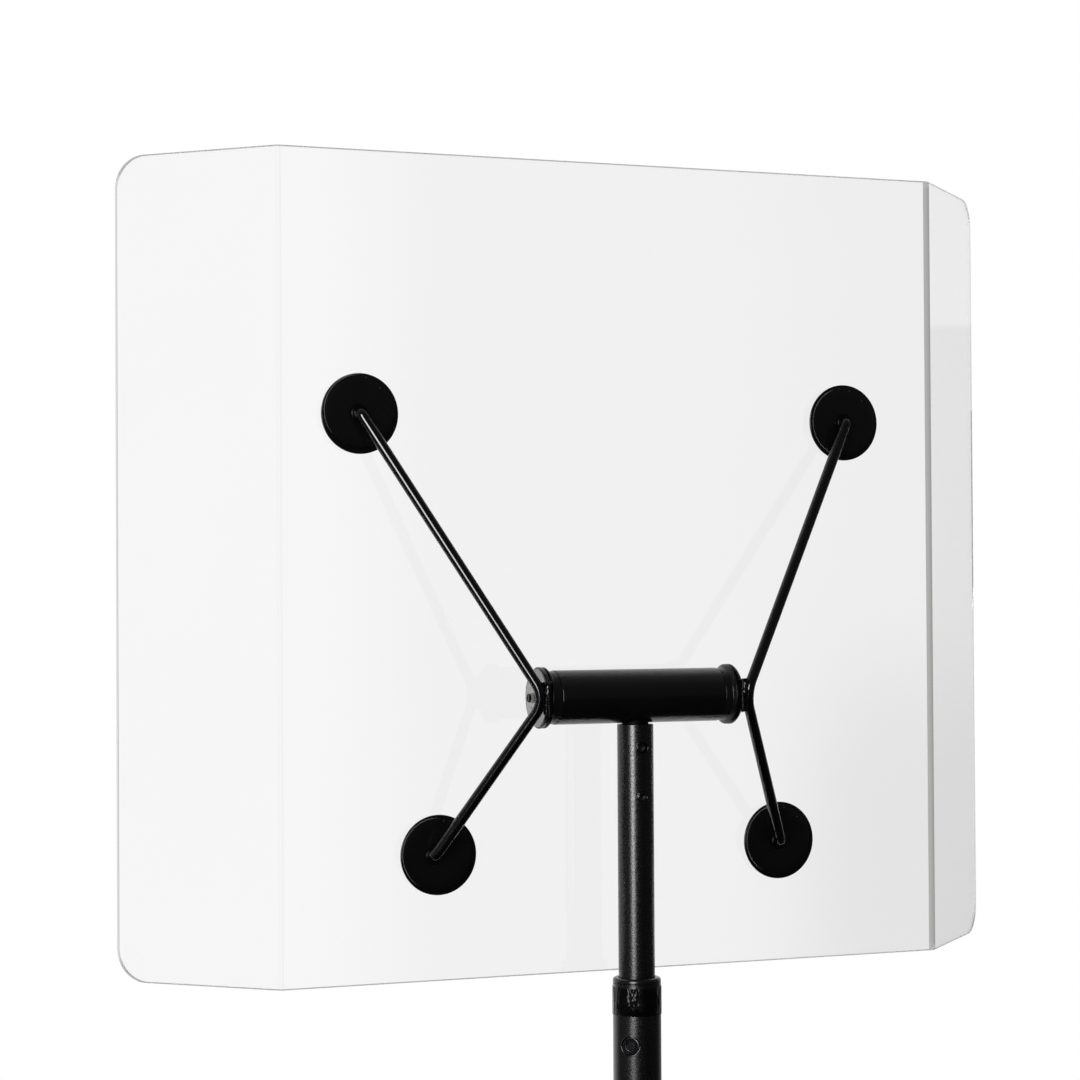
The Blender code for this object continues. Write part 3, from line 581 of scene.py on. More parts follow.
def smoothed(name, work, angle=SMOOTH_ANGLE):
    bmesh.ops.recalc_face_normals(work, faces=work.faces)
    mesh = bpy.data.meshes.new(name)
    work.to_mesh(mesh)
    work.free()
    mesh.shade_smooth()
    mesh.set_sharp_from_angle(angle=angle)
    return mesh


def drill_bit(name, radius, start, end=20 * MM):
    return turned(name, [(0, start), (radius, start), (radius, end), (0, end)], SMALL_ROUND)


def dress(mesh, node, place=AXIS, turn=(0, 0, 0), look=None, stands_in=True):
    """Makes a mesh a visible piece on a node's body. It stands in for the node, or trims it."""
    thing = bpy.data.objects.new(mesh.name, mesh)
    thing.location = place
    thing.rotation_euler = turn
    bpy.context.scene.collection.objects.link(thing)
    mesh.materials.append(LOOKS[look or SLOT_OF[node]])
    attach(thing, BODY_OF[node])
    if stands_in:
        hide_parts(node)


def carved(mesh, tools, radius=None, angle=SMOOTH_ANGLE):
    """Mesh with each tool (mesh, place, turn) cut away. Round a radius its normals stay radial."""
    name = mesh.name
    body = bpy.data.objects.new(f"{name}_blank", mesh)
    bpy.context.scene.collection.objects.link(body)
    helpers = [body]
    for tool_mesh, place, turn in tools:
        tool = bpy.data.objects.new(tool_mesh.name, tool_mesh)
        tool.location = place
        tool.rotation_euler = turn
        bpy.context.scene.collection.objects.link(tool)
        cut = body.modifiers.new(tool.name, "BOOLEAN")
        cut.operation = "DIFFERENCE"
        cut.solver = "EXACT"
        cut.object = tool
        helpers.append(tool)
    bpy.context.view_layer.update()
    depsgraph = bpy.context.evaluated_depsgraph_get()
    result = bpy.data.meshes.new_from_object(body.evaluated_get(depsgraph))
    for helper in helpers:
        bpy.data.objects.remove(helper, do_unlink=True)
    bpy.data.meshes.remove(mesh)
    result.name = name
    result.shade_smooth()
    result.set_sharp_from_angle(angle=angle)
    if radius:
        keep_round(result, radius)
    return result


def keep_round(mesh, radius):
    """Radial normals on the upright wall of this radius, and each corner's own elsewhere."""
    wall_tolerance = radius * 0.002
    steepest = 0.1
    normals = [Vector(corner.vector) for corner in mesh.corner_normals]
    for face in mesh.polygons:
        corners = [mesh.vertices[index].co for index in face.vertices]
        on_wall = all(abs(corner.xy.length - radius) < wall_tolerance for corner in corners)
        if on_wall and abs(face.normal.z) < steepest:
            for loop in face.loop_indices:
                spot = mesh.vertices[mesh.loops[loop].vertex_index].co
                normals[loop] = Vector((spot.x, spot.y, 0)).normalized()
    mesh.normals_split_custom_set(normals)


def swept(name, points, radii, sides, closed=False):
    """Round bar along points, with a radius for each of them. Closed makes it a loop."""
    work = bmesh.new()
    before = (points[-1:] if closed else points[:1]) + points[:-1]
    after = points[1:] + (points[:1] if closed else points[-1:])
    tangents = [(second - first).normalized() for first, second in zip(before, after)]
    across = tangents[0].orthogonal().normalized()
    rings = []
    for index, (point, radius) in enumerate(zip(points, radii)):
        if index:
            across = tangents[index - 1].rotation_difference(tangents[index]) @ across
        across = (across - tangents[index] * across.dot(tangents[index])).normalized()
        up = tangents[index].cross(across)
        turns = [2 * math.pi * step / sides for step in range(sides)]
        rings.append([
            work.verts.new(point + (across * math.cos(turn) + up * math.sin(turn)) * radius)
            for turn in turns
        ])
    pairs = list(zip(rings, rings[1:]))
    if closed:
        end = rings[-1][0].co
        shift = min(range(sides), key=lambda step: (rings[0][step].co - end).length)
        pairs.append((rings[-1], rings[0][shift:] + rings[0][:shift]))
    else:
        work.faces.new(rings[0])
        work.faces.new(rings[-1])
    for first, second in pairs:
        for step in range(sides):
            following = (step + 1) % sides
            work.faces.new((first[step], first[following], second[following], second[step]))
    return smoothed(name, work, math.radians(50))


def hole_lip(name, tube_radius, hole, height, turn=0.0):
    """Rounded lip of paint round a cross hole in an upright tube. turn is the hole's azimuth."""
    points = []
    steps = 64
    for step in range(steps):
        angle = 2 * math.pi * step / steps
        across = hole * math.cos(angle)
        depth = math.sqrt(tube_radius ** 2 - across ** 2)
        spot = Vector((across, -depth, height + hole * math.sin(angle)))
        points.append(Matrix.Rotation(turn, 3, "Z") @ spot)
    return swept(name, points, [LIP_THICKNESS] * steps, 16, closed=True)


def half_turn_at(before, corner, after):
    return (math.pi - (before - corner).angle(after - corner)) / 2


def middle_way(before, corner, after):
    return ((before - corner).normalized() + (after - corner).normalized()).normalized()


def sharp_corner(before, apex, after, radius):
    """Corner whose rounding, with this radius, passes through the apex."""
    spare = radius / math.cos(half_turn_at(before, apex, after)) - radius
    return apex - middle_way(before, apex, after) * spare


def rounded_path(corners, radii, steps):
    """Points along straight runs whose inner corners are rounded with arcs."""
    points = [corners[0]]
    for before, corner, after, radius in zip(corners, corners[1:], corners[2:], radii):
        half_turn = half_turn_at(before, corner, after)
        reach = radius * math.tan(half_turn)
        centre = corner + middle_way(before, corner, after) * radius / math.cos(half_turn)
        start = corner + (before - corner).normalized() * reach - centre
        end = corner + (after - corner).normalized() * reach - centre
        for step in range(steps + 1):
            points.append(centre + start.slerp(end, step / steps) * radius)
    points.append(corners[-1])
    return points


# Stand


def make_base():
    low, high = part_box("base_plate")
    foot_high = low.z - SLIDING_GAP
    rim = size_of("base_plate").x / 2
    outline = ring_outline(0, rim, low.z, high.z, (0, 0.8, 1.6, 0), 6)
    dress(turned("base_disc", outline, 2 * ROUND), "base_plate")

    low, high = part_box("base_socket")
    outer = size_of("base_socket").x / 2
    inner = size_of("lower_tube").x / 2 + SLIDING_GAP
    outline = ring_outline(inner, outer, low.z, high.z, (0, 0.3, 2.2, 0.4), 6)
    dress(turned("socket_ring", outline), "base_socket")

    for number in range(1, 5):
        node = f"base_foot_{number}"
        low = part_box(node)[0]
        centre = centre_of(node)
        radius = size_of(node).x / 2
        outline = ring_outline(0, radius, low.z, foot_high, (0, 0.8, 0.3, 0))
        mesh = turned(f"rubber_foot_{number}", outline, SMALL_ROUND)
        dress(mesh, node, (centre.x, centre.y, 0))


def make_lower_tube():
    low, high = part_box("lower_tube")
    radius = size_of("lower_tube").x / 2
    outline = ring_outline(radius - LOWER_TUBE_WALL, radius, low.z, high.z, (0, 0, 0.25, 0.25))
    brake_z = high.z - BRAKE_DROP
    drill = drill_bit("brake_drill", BRAKE_HOLE, start=9 * MM)
    tube = carved(turned("outer_tube", outline), [(drill, (0, 0, brake_z), TOWARDS_BRAKE)], radius)
    dress(tube, "lower_tube")
    lip = hole_lip("brake_hole_lip", radius - 0.25 * MM, BRAKE_HOLE + 0.25 * MM, brake_z,
                   BRAKE_TURN)
    dress(lip, "lower_tube", look="gloss_black", stands_in=False)
    make_brake_adjuster(radius - BRAKE_SINK, brake_z)


def make_brake_adjuster(face, height):
    """Disc with a groove round it and a hexagon socket, sunk in its hole."""
    back = face - BRAKE_THICKNESS
    rim = BRAKE_HOLE - 0.2 * MM
    groove = face - 0.2 * MM
    pit = face - 0.6 * MM
    outline = softened([
        (0, back), (rim, back), (rim, face, 0.35 * MM), (rim - 0.9 * MM, face),
        (rim - 1.1 * MM, groove), (rim - 1.4 * MM, groove), (rim - 1.6 * MM, face),
        (3.1 * MM, face, 0.2 * MM), (2.6 * MM, pit), (0, pit),
    ])
    key_low = 11 * MM
    key_high = 16 * MM
    key = turned("brake_key", [(0, key_low), hexagon(BRAKE_KEY, key_low),
                               hexagon(BRAKE_KEY, key_high), (0, key_high)], SMALL_ROUND)
    sunk = (0, 0, face - BRAKE_KEY_DEPTH - key_low)
    disc = carved(turned("brake_disc", outline, SMALL_ROUND), [(key, sunk, (0, 0, 0))])
    dress(disc, "brake_adjuster", (HEAD.x, 0, height), TOWARDS_BRAKE, "brake_zinc")


def make_label_band():
    low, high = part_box("label_band")
    outer = size_of("label_band").x / 2
    outline = ring_outline(outer - BAND_THICKNESS, outer, low.z, high.z, (0, 0.12, 0.12, 0))
    dress(turned("blank_band", outline), "label_band", look="label_black")


def make_bush():
    low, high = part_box("top_bush")
    radius = size_of("top_bush").x / 2
    bore = size_of("mast_tube").x / 2 + 0.15 * MM
    sleeve = radius - LOWER_TUBE_WALL - SLIDING_GAP
    lip_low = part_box("lower_tube")[1].z + SEAT_GAP
    outline = softened([
        (bore, low.z), (sleeve, low.z), (sleeve, lip_low), (radius, lip_low, 0.3 * MM),
        (radius, high.z, 1.9 * MM), (bore, high.z, 0.5 * MM),
    ], 10)
    dress(turned("bush_lip", outline), "top_bush", look="bush_plastic")


# Mast


def make_mast():
    low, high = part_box("mast_tube")
    radius = size_of("mast_tube").x / 2
    top = high.z + MAST_CAP
    outline = ring_outline(radius - MAST_WALL, radius, low.z, top, (0, 0.3, 0.35, 0.3))
    tools = []
    for level, hole in SCREW_HOLES.items():
        drill = drill_bit(f"{level}_drill", hole, start=5 * MM)
        height = centre_of(f"neck_screw_{level}").z
        tools.append((drill, (0, 0, height), TOWARDS_FRONT))
        lip = hole_lip(f"{level}_hole_lip", radius - 0.43 * MM, hole + 0.2 * MM, height)
        dress(lip, "mast_tube", look="gloss_black", stands_in=False)
    dress(carved(turned("inner_tube", outline), tools, radius), "mast_tube")


def make_neck_screw(level):
    """Socket screw in the mast's front, with a rounded rim."""
    node = f"neck_screw_{level}"
    low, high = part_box(node)
    tip = -high.y
    face = -low.y
    rim = size_of(node).x / 2
    outline = [
        (0, face - 2.6 * MM), hexagon(SCREW_KEY, face - 2.3 * MM),
        hexagon(SCREW_KEY, face - 0.15 * MM), (1.95 * MM, face), (rim - 0.45 * MM, face),
        (rim - 0.2 * MM, face - 0.07 * MM), (rim - 0.05 * MM, face - 0.25 * MM),
        (rim, face - 0.5 * MM), (rim, tip), (0, tip),
    ]
    mesh = turned(f"socket_screw_{level}", outline, SMALL_ROUND)
    dress(mesh, node, (HEAD.x, 0, centre_of(node).z), TOWARDS_FRONT)


# Head


def make_cross_tube():
    half = size_of("cross_tube").x / 2
    radius = size_of("cross_tube").z / 2
    outline = ring_outline(radius - CROSS_TUBE_WALL, radius, -half, half, (0.2, 0.35, 0.35, 0.2))
    dress(turned("tilt_tube", outline), "cross_tube", HEAD, TOWARDS_RIGHT)


def make_end_stack(name, side, turn):
    """Bush, friction washer and bright washer at one end of the cross tube."""
    tube_radius = size_of("cross_tube").z / 2
    tube_end = span("cross_tube", side)[1]
    near, far, lip = end_piece(f"tilt_bush_{name}", side)
    sleeve = tube_radius - CROSS_TUBE_WALL - SLIDING_GAP
    core = sleeve - BUSH_WALL
    neck = tube_radius - BUSH_INSET
    seat = tube_end + SEAT_GAP
    outline = softened([
        (STUD_HOLE, far), (lip, far, 0.3 * MM), (lip, far - BUSH_FLANGE, 0.3 * MM),
        (neck, tube_end + BUSH_NECK, 0.8 * MM), (neck, seat, 0.3 * MM), (sleeve, seat),
        (sleeve, near), (core, near), (core, seat), (STUD_HOLE, seat),
    ])
    mesh = turned(f"flanged_bush_{name}", outline)
    dress(mesh, f"tilt_bush_{name}", HEAD, turn, "flange_plastic")

    near, far, rim = end_piece(f"friction_washer_{name}", side)
    outline = ring_outline(STUD_HOLE, rim, near, far, (0, 0.2, 0.2, 0))
    dress(turned(f"thin_washer_{name}", outline), f"friction_washer_{name}", HEAD, turn)

    near, far, rim = end_piece(f"end_washer_{name}", side)
    outline = ring_outline(STUD_HOLE, rim, near, far, (0, 0.15, 0.4, 0.2))
    dress(turned(f"bright_washer_{name}", outline), f"end_washer_{name}", HEAD, turn)


def make_nut(name, side, turn):
    """Thin hexagon nut with a chamfered face and a small punched pit in it."""
    near, far = span(f"tilt_nut_{name}", side)

    def flats(inset, height):
        return hexagon(NUT_FLATS - inset, height, NUT_BLUNT)

    def chamfer(radius):
        return far - (radius - NUT_CROWN) * math.tan(math.radians(30))

    outline = [
        (STUD_HOLE, near), flats(0.2 * MM, near), flats(0, near + 0.15 * MM),
        flats(0, lambda radius: chamfer(radius) - 0.05 * MM), flats(0.16 * MM, chamfer),
        (NUT_CROWN, far), (STUD_HOLE + 0.5 * MM, far), (STUD_HOLE, far - 0.45 * MM),
    ]
    above = far + 1 * MM
    pit = turned(f"pit_{name}", [(0, far - 0.55 * MM), (0.55 * MM, far - 0.4 * MM),
                                 (0.75 * MM, above), (0, above)], 24)
    tools = [(pit, (side * NUT_PIT_DROP, 0, 0), (0, 0, 0))]
    nut = carved(turned(f"thin_nut_{name}", outline), tools, angle=NUT_SHARP_ANGLE)
    dress(nut, f"tilt_nut_{name}", HEAD, turn, "nut_zinc")


def make_stud():
    """Stud with a thread on each end, which shows beyond the nuts, and a drilled centre."""
    end = span("tilt_stud", 1)[1]
    radius = size_of("tilt_stud").z / 2
    thread_start = span("tilt_nut_right", 1)[0]

    def thread(height, side):
        def point(angle):
            turn = (side * angle / (2 * math.pi) + height / THREAD_PITCH) % 1
            groove = THREAD_DEPTH * abs(2 * turn - 1)
            share = min(1, (end - height) / THREAD_RUN_OUT)
            return radius - THREAD_TAPER * (1 - share) - groove * share, side * height
        return point

    face = [(0, end - 1.2 * MM), (1.1 * MM, end - 1.1 * MM), (1.3 * MM, end - 0.1 * MM),
            (1.45 * MM, end), (radius - 0.55 * MM, end)]
    levels = [end - 0.05 * MM - (end - thread_start) * step / THREAD_RINGS
              for step in range(THREAD_RINGS + 1)]
    outline = face + [thread(level, 1) for level in levels]
    outline += [(radius, thread_start - 0.5 * MM), (radius, 0.5 * MM - thread_start)]
    outline += [thread(level, -1) for level in reversed(levels)]
    outline += [(reach, -height) for reach, height in reversed(face)]
    mesh = turned("threaded_stud", outline, SMALL_ROUND, math.radians(60))
    dress(mesh, "tilt_stud", HEAD, TOWARDS_RIGHT, "stud_zinc")


def round_edges(work, edges, size, segments):
    bmesh.ops.bevel(work, geom=edges, offset=size, offset_type="OFFSET", segments=segments,
                    profile=0.5, affect="EDGES", clamp_overlap=True)


def make_arm_plate(name, side, turn):
    """Round plate whose front lug bends outwards into the tab that the rod is welded to."""
    node = f"arm_plate_{name}"
    back, tab_end, radius = end_piece(node, side)
    face = back + PLATE_THICKNESS
    half = TAB_HEIGHT / 2
    tab_front = TAB_BACK + TAB_THICKNESS
    lug = math.asin(half / radius)
    steps = 120
    turns = [lug + 2 * (math.pi - lug) * step / steps for step in range(steps + 1)]
    outline = [(radius * math.sin(angle), -radius * math.cos(angle)) for angle in turns]
    outline += [(-half, -TAB_BACK), (half, -TAB_BACK)]
    work = bmesh.new()
    low = [work.verts.new((x, y, back)) for x, y in outline]
    high = [work.verts.new((x, y, face)) for x, y in outline]
    front_low, front_end, root_end = (
        [work.verts.new((x, y, height)) for x in (-half, half)]
        for y, height in ((-tab_front, back), (-tab_front, tab_end), (-TAB_BACK, tab_end))
    )
    work.faces.new(low)
    work.faces.new(high)
    for step in range(-1, len(outline) - 2):
        work.faces.new((low[step], low[step + 1], high[step + 1], high[step]))
    tab_edges = (low[-2:], front_low, front_end, root_end, high[-2:])
    for first, second in zip(tab_edges, tab_edges[1:]):
        work.faces.new((first[0], first[1], second[1], second[0]))
    for corner in (0, 1):
        work.faces.new([edge[corner] for edge in tab_edges])
    bmesh.ops.recalc_face_normals(work, faces=work.faces)
    round_edges(work, [work.edges.get(front_low)], 1.6 * MM, 8)
    sharp = [edge for edge in work.edges
             if len(edge.link_faces) == 2 and edge.calc_face_angle() > math.radians(40)]
    round_edges(work, sharp, 0.25 * MM, 3)
    dress(smoothed(f"lug_plate_{name}", work), node, HEAD, turn)


# Rods, discs and welds


def disc_nodes(name):
    return [f"disc_upper_{name}", f"disc_lower_{name}"]


def weld_spot(disc):
    """Middle of a disc, moved to where its rod is welded on."""
    return centre_of(disc) + Vector((ROD_END_SHIFTS[disc.removeprefix("disc_")], 0, 0))


def make_rod(name, side):
    """Round bar bent into a V, whose ends turn in square to the discs. Returns its path."""
    ends = []
    elbows = []
    for node in disc_nodes(name):
        centre = weld_spot(node)
        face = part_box(node)[0].y
        ends.append(Vector((centre.x, face - 0.05 * MM, centre.z)))
        elbows.append(Vector((centre.x, face - ROD_ELBOW_STANDOFF, centre.z)))
    apex = HEAD + Vector((side * ROD_APEX_SPREAD, -ROD_APEX_FORWARD, 0))
    corner = sharp_corner(elbows[0], apex, elbows[1], ROD_APEX_RADIUS)
    corners = [ends[0], elbows[0], corner, elbows[1], ends[1]]
    points = rounded_path(corners, [ROD_ELBOW_RADIUS, ROD_APEX_RADIUS, ROD_ELBOW_RADIUS], 24)
    radii = []
    for point in points:
        away = min((point - elbow).length for elbow in elbows)
        swell = ROD_ELBOW_SWELL * math.exp(-(away / ROD_ELBOW_REACH) ** 2)
        radii.append(ROD_RADIUS * (1 + swell))
    dress(swept(f"bent_rod_{name}", points, radii, ROD_SIDES), f"v_rod_{name}", ORIGIN)
    return points


def make_discs(name):
    for node in disc_nodes(name):
        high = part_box(node)[1]
        centre = centre_of(node)
        radius = size_of(node).z / 2
        thick = size_of(node).y
        edge = radius - DISC_STEP
        outline = softened([
            (0, 0), (edge - DISC_BEVEL, 0), (edge, thick - DISC_SHOULDER, 0.3 * MM),
            (edge - 0.15 * MM, thick - 0.35 * MM),
        ], 6)
        for step in range(DISC_DOME_STEPS + 1):
            inwards = DISC_BEVEL + DISC_DOME_REACH * step / DISC_DOME_STEPS
            drop = DISC_DOME * (1 - step / DISC_DOME_STEPS) ** 2
            outline.append((edge - inwards, thick - drop))
        outline.append((0, thick))
        across, up = DISC_SHIFTS[node.removeprefix("disc_")]
        place = (centre.x + across, high.y, centre.z + up)
        dress(turned(f"round_{node}", outline), node, place, TOWARDS_FRONT)

        pad = node.replace("disc", "bond_pad")
        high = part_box(pad)[1]
        thick = size_of(pad).y + 0.1 * MM
        outline = ring_outline(0, radius + PAD_SPARE, 0, thick, (0, 0.2, 0.35, 0))
        mesh = turned(f"soft_{pad}", outline)
        dress(mesh, pad, (centre.x + PAD_SPARE, high.y, centre.z), TOWARDS_FRONT, "satin_black")


def make_disc_weld(node, seed):
    """Rippled bead of weld round the rod where it meets its disc."""
    centre = weld_spot(node.replace("weld_collar", "disc"))
    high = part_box(node)[1]
    width = size_of(node).z / 2 - ROD_RADIUS + WELD_OVERLAP
    tall = size_of(node).y
    root = ROD_RADIUS - WELD_OVERLAP

    def ring(share):
        quarter = share * math.pi / 2

        def point(angle):
            ripple = 0.5 + 0.5 * math.cos(WELD_RIPPLES * angle + 1.3 * math.sin(2 * angle + seed))
            lump = noise.noise(Vector((1.3 * math.cos(angle), 1.3 * math.sin(angle), seed)))
            swell = min(WELD_SIZE + WELD_RIPPLE * ripple + WELD_LUMP * lump, 1.0)
            reach = root + width * swell * (1 - math.cos(quarter))
            return reach, tall * swell * (1 - math.sin(quarter))
        return point

    steps = 10
    outline = [ring(step / steps) for step in range(steps + 1)] + [(root, 0)]
    mesh = turned(node.replace("weld_collar", "weld_bead"), outline, 180, math.radians(60))
    dress(mesh, node, (centre.x, high.y, centre.z), TOWARDS_FRONT, "weld_black")


def make_apex_welds(name, side, path):
    """Beads of weld where the rod's apex lies against the end of the plate's tab."""
    tab_end = span(f"arm_plate_{name}", side)[1]
    near_apex = [point for point in path if abs(point.z - HEAD.z) < APEX_RANGE]
    near_apex.sort(key=lambda point: point.z)
    for bead in APEX_BEADS:
        points = []
        radii = []
        for step in range(BEAD_STEPS + 1):
            along = step / BEAD_STEPS * 2 - 1
            height = bead.level + along * bead.reach
            rod = min(near_apex, key=lambda point: abs(point.z - HEAD.z - height))
            tab = HEAD + Vector((side * (tab_end - bead.inside), -bead.forward, height))
            middle = tab.lerp(Vector((rod.x, rod.y, tab.z)), bead.share)
            lump = noise.noise(Vector((step * 0.11, bead.forward * 900, side * 3.1)))
            grain = noise.noise(Vector((step * 0.3, bead.forward * 700, side * 1.7)))
            past = max(0, (abs(along) - BEAD_TAPER) / (1 - BEAD_TAPER))
            taper = math.sqrt(max(0.01, 1 - past ** 2))
            points.append(middle + Vector((side * BEAD_SWAY * grain, BEAD_SWAY * lump, 0)))
            swell = BEAD_SIZE + BEAD_LUMP * lump + BEAD_GRAIN * grain
            radii.append(bead.radius * swell * taper)
        mesh = swept(f"apex_weld_{bead.kind}_{name}", points, radii, BEAD_SIDES)
        dress(mesh, f"arm_plate_{name}", ORIGIN, look=bead.look, stands_in=False)


# Screen


def screen_sections():
    """Sections of the right half, each as face and edge points with their half heights."""
    half_height = size_of("acrylic_screen").z / 2
    face_height = half_height - SHEET_EDGE
    outer_radius = SHEET_FOLD_RADIUS + SHEET_THICKNESS
    trim = outer_radius * math.tan(SHEET_FOLD / 2)
    centre = Vector((SHEET_CENTRE_WIDTH / 2 - trim, outer_radius))
    still = Vector((0, 0))
    sections = []

    def section(outer, out, face_half=face_height, edge_half=half_height,
                run=still, edge_run=still):
        inner = outer - out * SHEET_THICKNESS
        edge = out * SHEET_EDGE
        sections.append((
            (outer + run, face_half), (outer - edge + edge_run, edge_half),
            (inner + edge + edge_run, edge_half), (inner + run, face_half),
        ))

    for across in (0, centre.x - SHEET_SUPPORT):
        section(Vector((across, 0)), Vector((0, -1)))
    fold_steps = 16
    for step in range(fold_steps + 1):
        angle = SHEET_FOLD * step / fold_steps
        out = Vector((math.sin(angle), -math.cos(angle)))
        outer = centre + out * outer_radius
        section(outer, out)
    along = Vector((math.cos(SHEET_FOLD), math.sin(SHEET_FOLD)))
    section(outer, out, run=along * SHEET_SUPPORT, edge_run=along * SHEET_SUPPORT)
    straight = SHEET_WING_WIDTH - trim - SHEET_CORNER_RADIUS
    base = half_height - SHEET_CORNER_RADIUS
    radii = (SHEET_CORNER_RADIUS - SHEET_EDGE, SHEET_CORNER_RADIUS)
    corner_steps = 28
    for step in range(corner_steps + 1):
        angle = math.pi / 2 * step / corner_steps
        halves = [base + radius * math.cos(angle) for radius in radii]
        runs = [along * (straight + radius * math.sin(angle)) for radius in radii]
        section(outer, out, *halves, *runs)
    return sections


def make_screen():
    """Bent sheet with fine bevels along its edges."""
    right = screen_sections()
    left = [[(Vector((-spot.x, spot.y)), half) for spot, half in section]
            for section in reversed(right[1:])]
    work = bmesh.new()
    rings = []
    for section in left + right:
        upper = [(*spot, half) for spot, half in section]
        lower = [(*spot, -half) for spot, half in reversed(section)]
        rings.append([work.verts.new(corner) for corner in upper + lower])
    for first, second in zip(rings, rings[1:]):
        for step in range(8):
            after = (step + 1) % 8
            work.faces.new((first[step], first[after], second[after], second[step]))
    for ring in (rings[0], rings[-1]):
        for corners in ((0, 1, 6, 7), (1, 2, 5, 6), (2, 3, 4, 5)):
            work.faces.new([ring[corner] for corner in corners])
    dress(smoothed("clear_sheet", work, math.radians(25)), "acrylic_screen", panel_middle())


# Studio


def make_camera():
    back = direction(AZIMUTH, ELEVATION)
    right = Vector((math.cos(AZIMUTH), math.sin(AZIMUTH), 0))
    above = back.cross(right)
    rolled_right = math.cos(ROLL) * right + math.sin(ROLL) * above
    rolled_up = -math.sin(ROLL) * right + math.cos(ROLL) * above
    data = bpy.data.cameras.new("photo_camera")
    data.sensor_width = SENSOR
    data.lens = FOCAL_PIXELS / IMAGE_SIDE * SENSOR
    data.clip_start = 0.05
    data.clip_end = 60
    camera = bpy.data.objects.new("photo_camera", data)
    place = panel_middle() - ACROSS * rolled_right - ALONG * rolled_up + DISTANCE * back
    turn = Matrix((rolled_right, rolled_up, back)).transposed().to_4x4()
    camera.matrix_world = Matrix.Translation(place) @ turn
    bpy.context.scene.collection.objects.link(camera)
    bpy.context.scene.camera = camera


def make_softbox(name, azimuth, elevation, distance, width, height, power, aim):
    """Area light that faces its aim from an azimuth and an elevation (degrees) round it."""
    away = direction(math.radians(azimuth), math.radians(elevation))
    data = bpy.data.lights.new(name, "AREA")
    data.shape = "RECTANGLE"
    data.size = width
    data.size_y = height
    data.energy = power
    lamp = bpy.data.objects.new(name, data)
    lamp.location = aim + away * distance
    lamp.rotation_euler = away.to_track_quat("Z", "Y").to_euler()
    lamp.visible_camera = False
    lamp.visible_transmission = False
    bpy.context.scene.collection.objects.link(lamp)
    return lamp


def spare_mirrors(lamp):
    """Keeps a lamp off the sheet, and off the bright pieces that would mirror it into the sheet."""
    spared = bpy.data.collections.new("spared_mirrors")
    for thing in bpy.context.scene.objects:
        if thing.name.startswith(("bright_washer", "thin_nut", "threaded_stud", "clear_sheet")):
            spared.objects.link(thing)
    for entry in spared.collection_objects:
        entry.light_linking.link_state = "EXCLUDE"
    lamp.light_linking.receiver_collection = spared


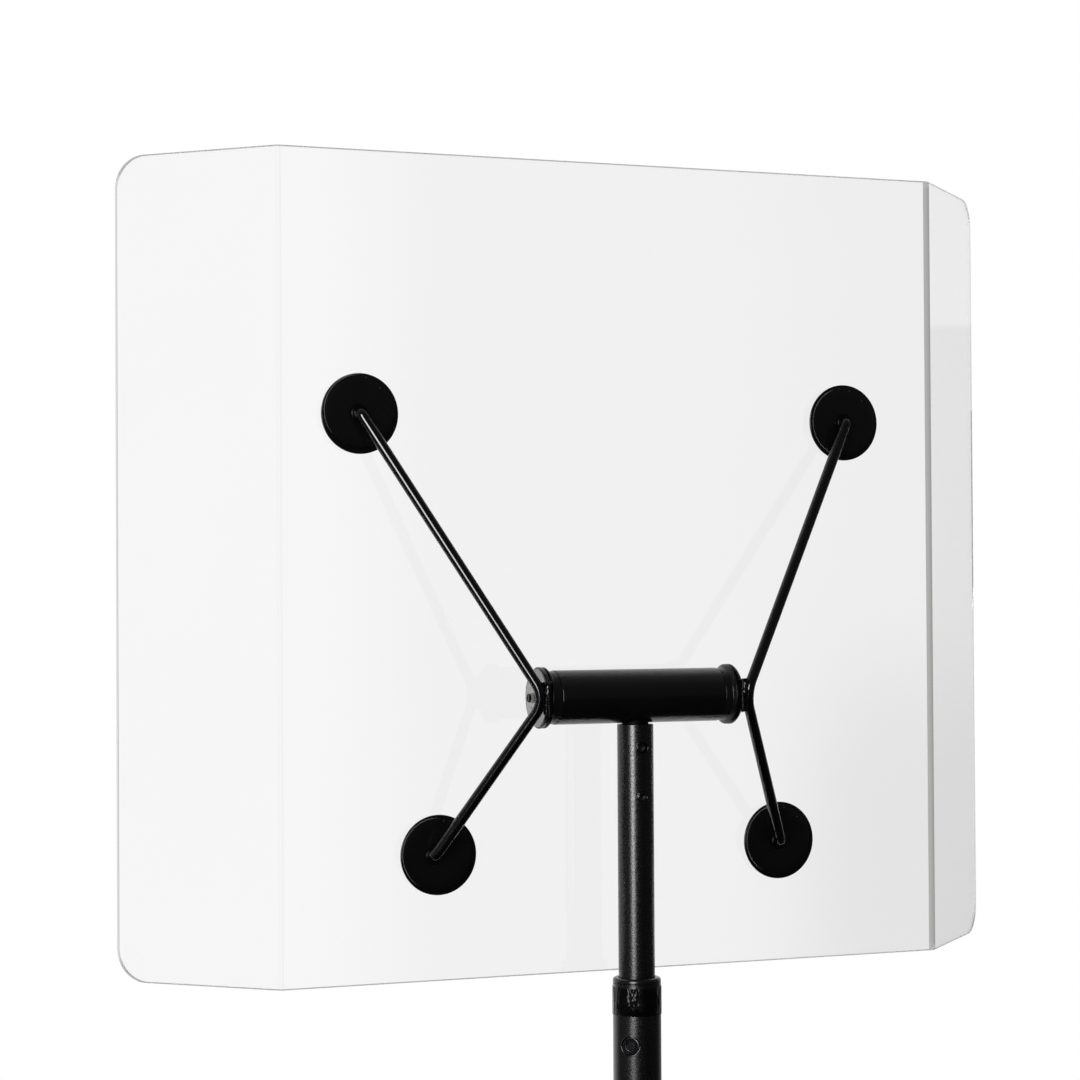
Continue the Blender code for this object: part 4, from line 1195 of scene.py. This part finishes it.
def make_world():
    """White studio. Every value in it hangs on the direction or on the kind of ray."""
    world = bpy.data.worlds.new("studio")
    bpy.context.scene.world = world
    graph = Graph(world)
    graph.tree.nodes.clear()
    way = graph.node("ShaderNodeTexCoord").outputs["Generated"]
    to_right = (math.cos(AZIMUTH), math.sin(AZIMUTH), 0)
    right, depth, height, aside = (
        graph.vector_math("DOT_PRODUCT", way, axis)
        for axis in ((1, 0, 0), (0, 1, 0), (0, 0, 1), to_right)
    )
    fade = graph.fade

    # Gloss sees white only behind the object, and a soft ceiling and dim walls elsewhere
    level = graph.product(fade(height, 0.3, 0.9, 1.0, 0.55), fade(height, -0.9, -0.3, 0.45, 1.0))
    backdrop = graph.product(fade(depth, 0.42, 0.9, 0.0, 1.2), level)
    left_wall = fade(right, -1.0, -0.75, 0.14, 0.0)
    lower_wall = fade(height, -0.2, 0.05, 0.33, 0.41)
    upper_wall = fade(height, 0.091, 0.094, 0.0, 0.25)
    side_level = graph.total(lower_wall, upper_wall)
    right_wall = graph.product(fade(depth, 0.0, 0.5, 0.08, 1.0), side_level)
    on_right = fade(right, 0.6, 0.72, 0.0, 1.0)
    walls = graph.choose(on_right, graph.total(backdrop, left_wall), right_wall)
    ceiling = graph.product(fade(height, 0.3, 1.0, 0.0, 1.0), fade(depth, -0.9, 0.6, 0.03, 0.3))
    added_glow = fade(height, -0.25, 0.15, 0.0, 0.05)
    gloss = graph.total(walls, graph.total(ceiling, added_glow))

    # The sheet lets through a white that dims a little from left to right
    left_glow = fade(aside, -0.085, -0.03, 0.985, 0.93)
    right_shade = fade(aside, 0.04, 0.14, 1.0, 0.968)
    low_right = graph.product(fade(aside, 0.06, 0.13, 0.0, 1.0),
                              fade(height, -0.08, 0.02, 1.0, 0.0))
    corner_shade = fade(low_right, 0.0, 1.0, 1.0, 0.9)
    far_left = fade(aside, -0.32, -0.2, 0.95, 1.0)
    ahead = graph.product(left_glow, right_shade, corner_shade, far_left)
    behind = fade(depth, -0.75, -0.5, 0.96, 0.72)
    through = graph.choose(fade(depth, 0.1, 0.7, 0.0, 1.0), behind, ahead)

    # Rays through the clear sheet are glossy ones too, so transmission is chosen last
    rays = graph.node("ShaderNodeLightPath").outputs
    seen = graph.choose(rays["Is Glossy Ray"], 1.0, gloss)
    seen = graph.choose(rays["Is Transmission Ray"], seen, through)
    light = graph.node("ShaderNodeBackground", {"Color": (1, 1, 1), "Strength": seen})
    graph.node("ShaderNodeOutputWorld", {"Surface": light.outputs["Background"]})


def make_floor():
    """Pale round floor that fades into the white studio."""
    work = bmesh.new()
    bmesh.ops.create_circle(work, cap_ends=True, radius=FLOOR_RADIUS, segments=96)
    mesh = bpy.data.meshes.new("studio_floor")
    work.to_mesh(mesh)
    work.free()
    look = Look("pale_floor")
    look.shade({"Base Color": grey(0.93), "Roughness": 0.7})
    clear = look.node("ShaderNodeBsdfTransparent").outputs["BSDF"]
    share = look.fade(look.vector_math("LENGTH", look.place), 0.7, 2.3, 0.0, 1.0)
    mixed = look.node("ShaderNodeMixShader", {0: share, 1: look.shader.outputs["BSDF"], 2: clear})
    look.connect(look.output, {"Surface": mixed.outputs["Shader"]})
    mesh.materials.append(look.material)
    floor = bpy.data.objects.new("studio_floor", mesh)
    floor.location = (0, 0, -FLOOR_DROP)
    floor.visible_glossy = False
    bpy.context.scene.collection.objects.link(floor)


make_base()
make_lower_tube()
make_label_band()
make_bush()
make_mast()
for level in SCREW_HOLES:
    make_neck_screw(level)
make_cross_tube()
make_stud()
for name, side, turn in SIDES:
    make_end_stack(name, side, turn)
    make_nut(name, side, turn)
    make_arm_plate(name, side, turn)
    make_discs(name)
    for level, seed in (("upper", 3), ("lower", 7)):
        make_disc_weld(f"weld_collar_{level}_{name}", side + seed)
    make_apex_welds(name, side, make_rod(name, side))
make_screen()

make_camera()
make_world()
make_floor()
key_light = make_softbox("key_box", azimuth=-42, elevation=8, distance=2.2, width=0.8, height=1.45,
                         power=62, aim=HEAD)
spare_mirrors(key_light)
bpy.context.scene.view_settings.view_transform = "Standard"
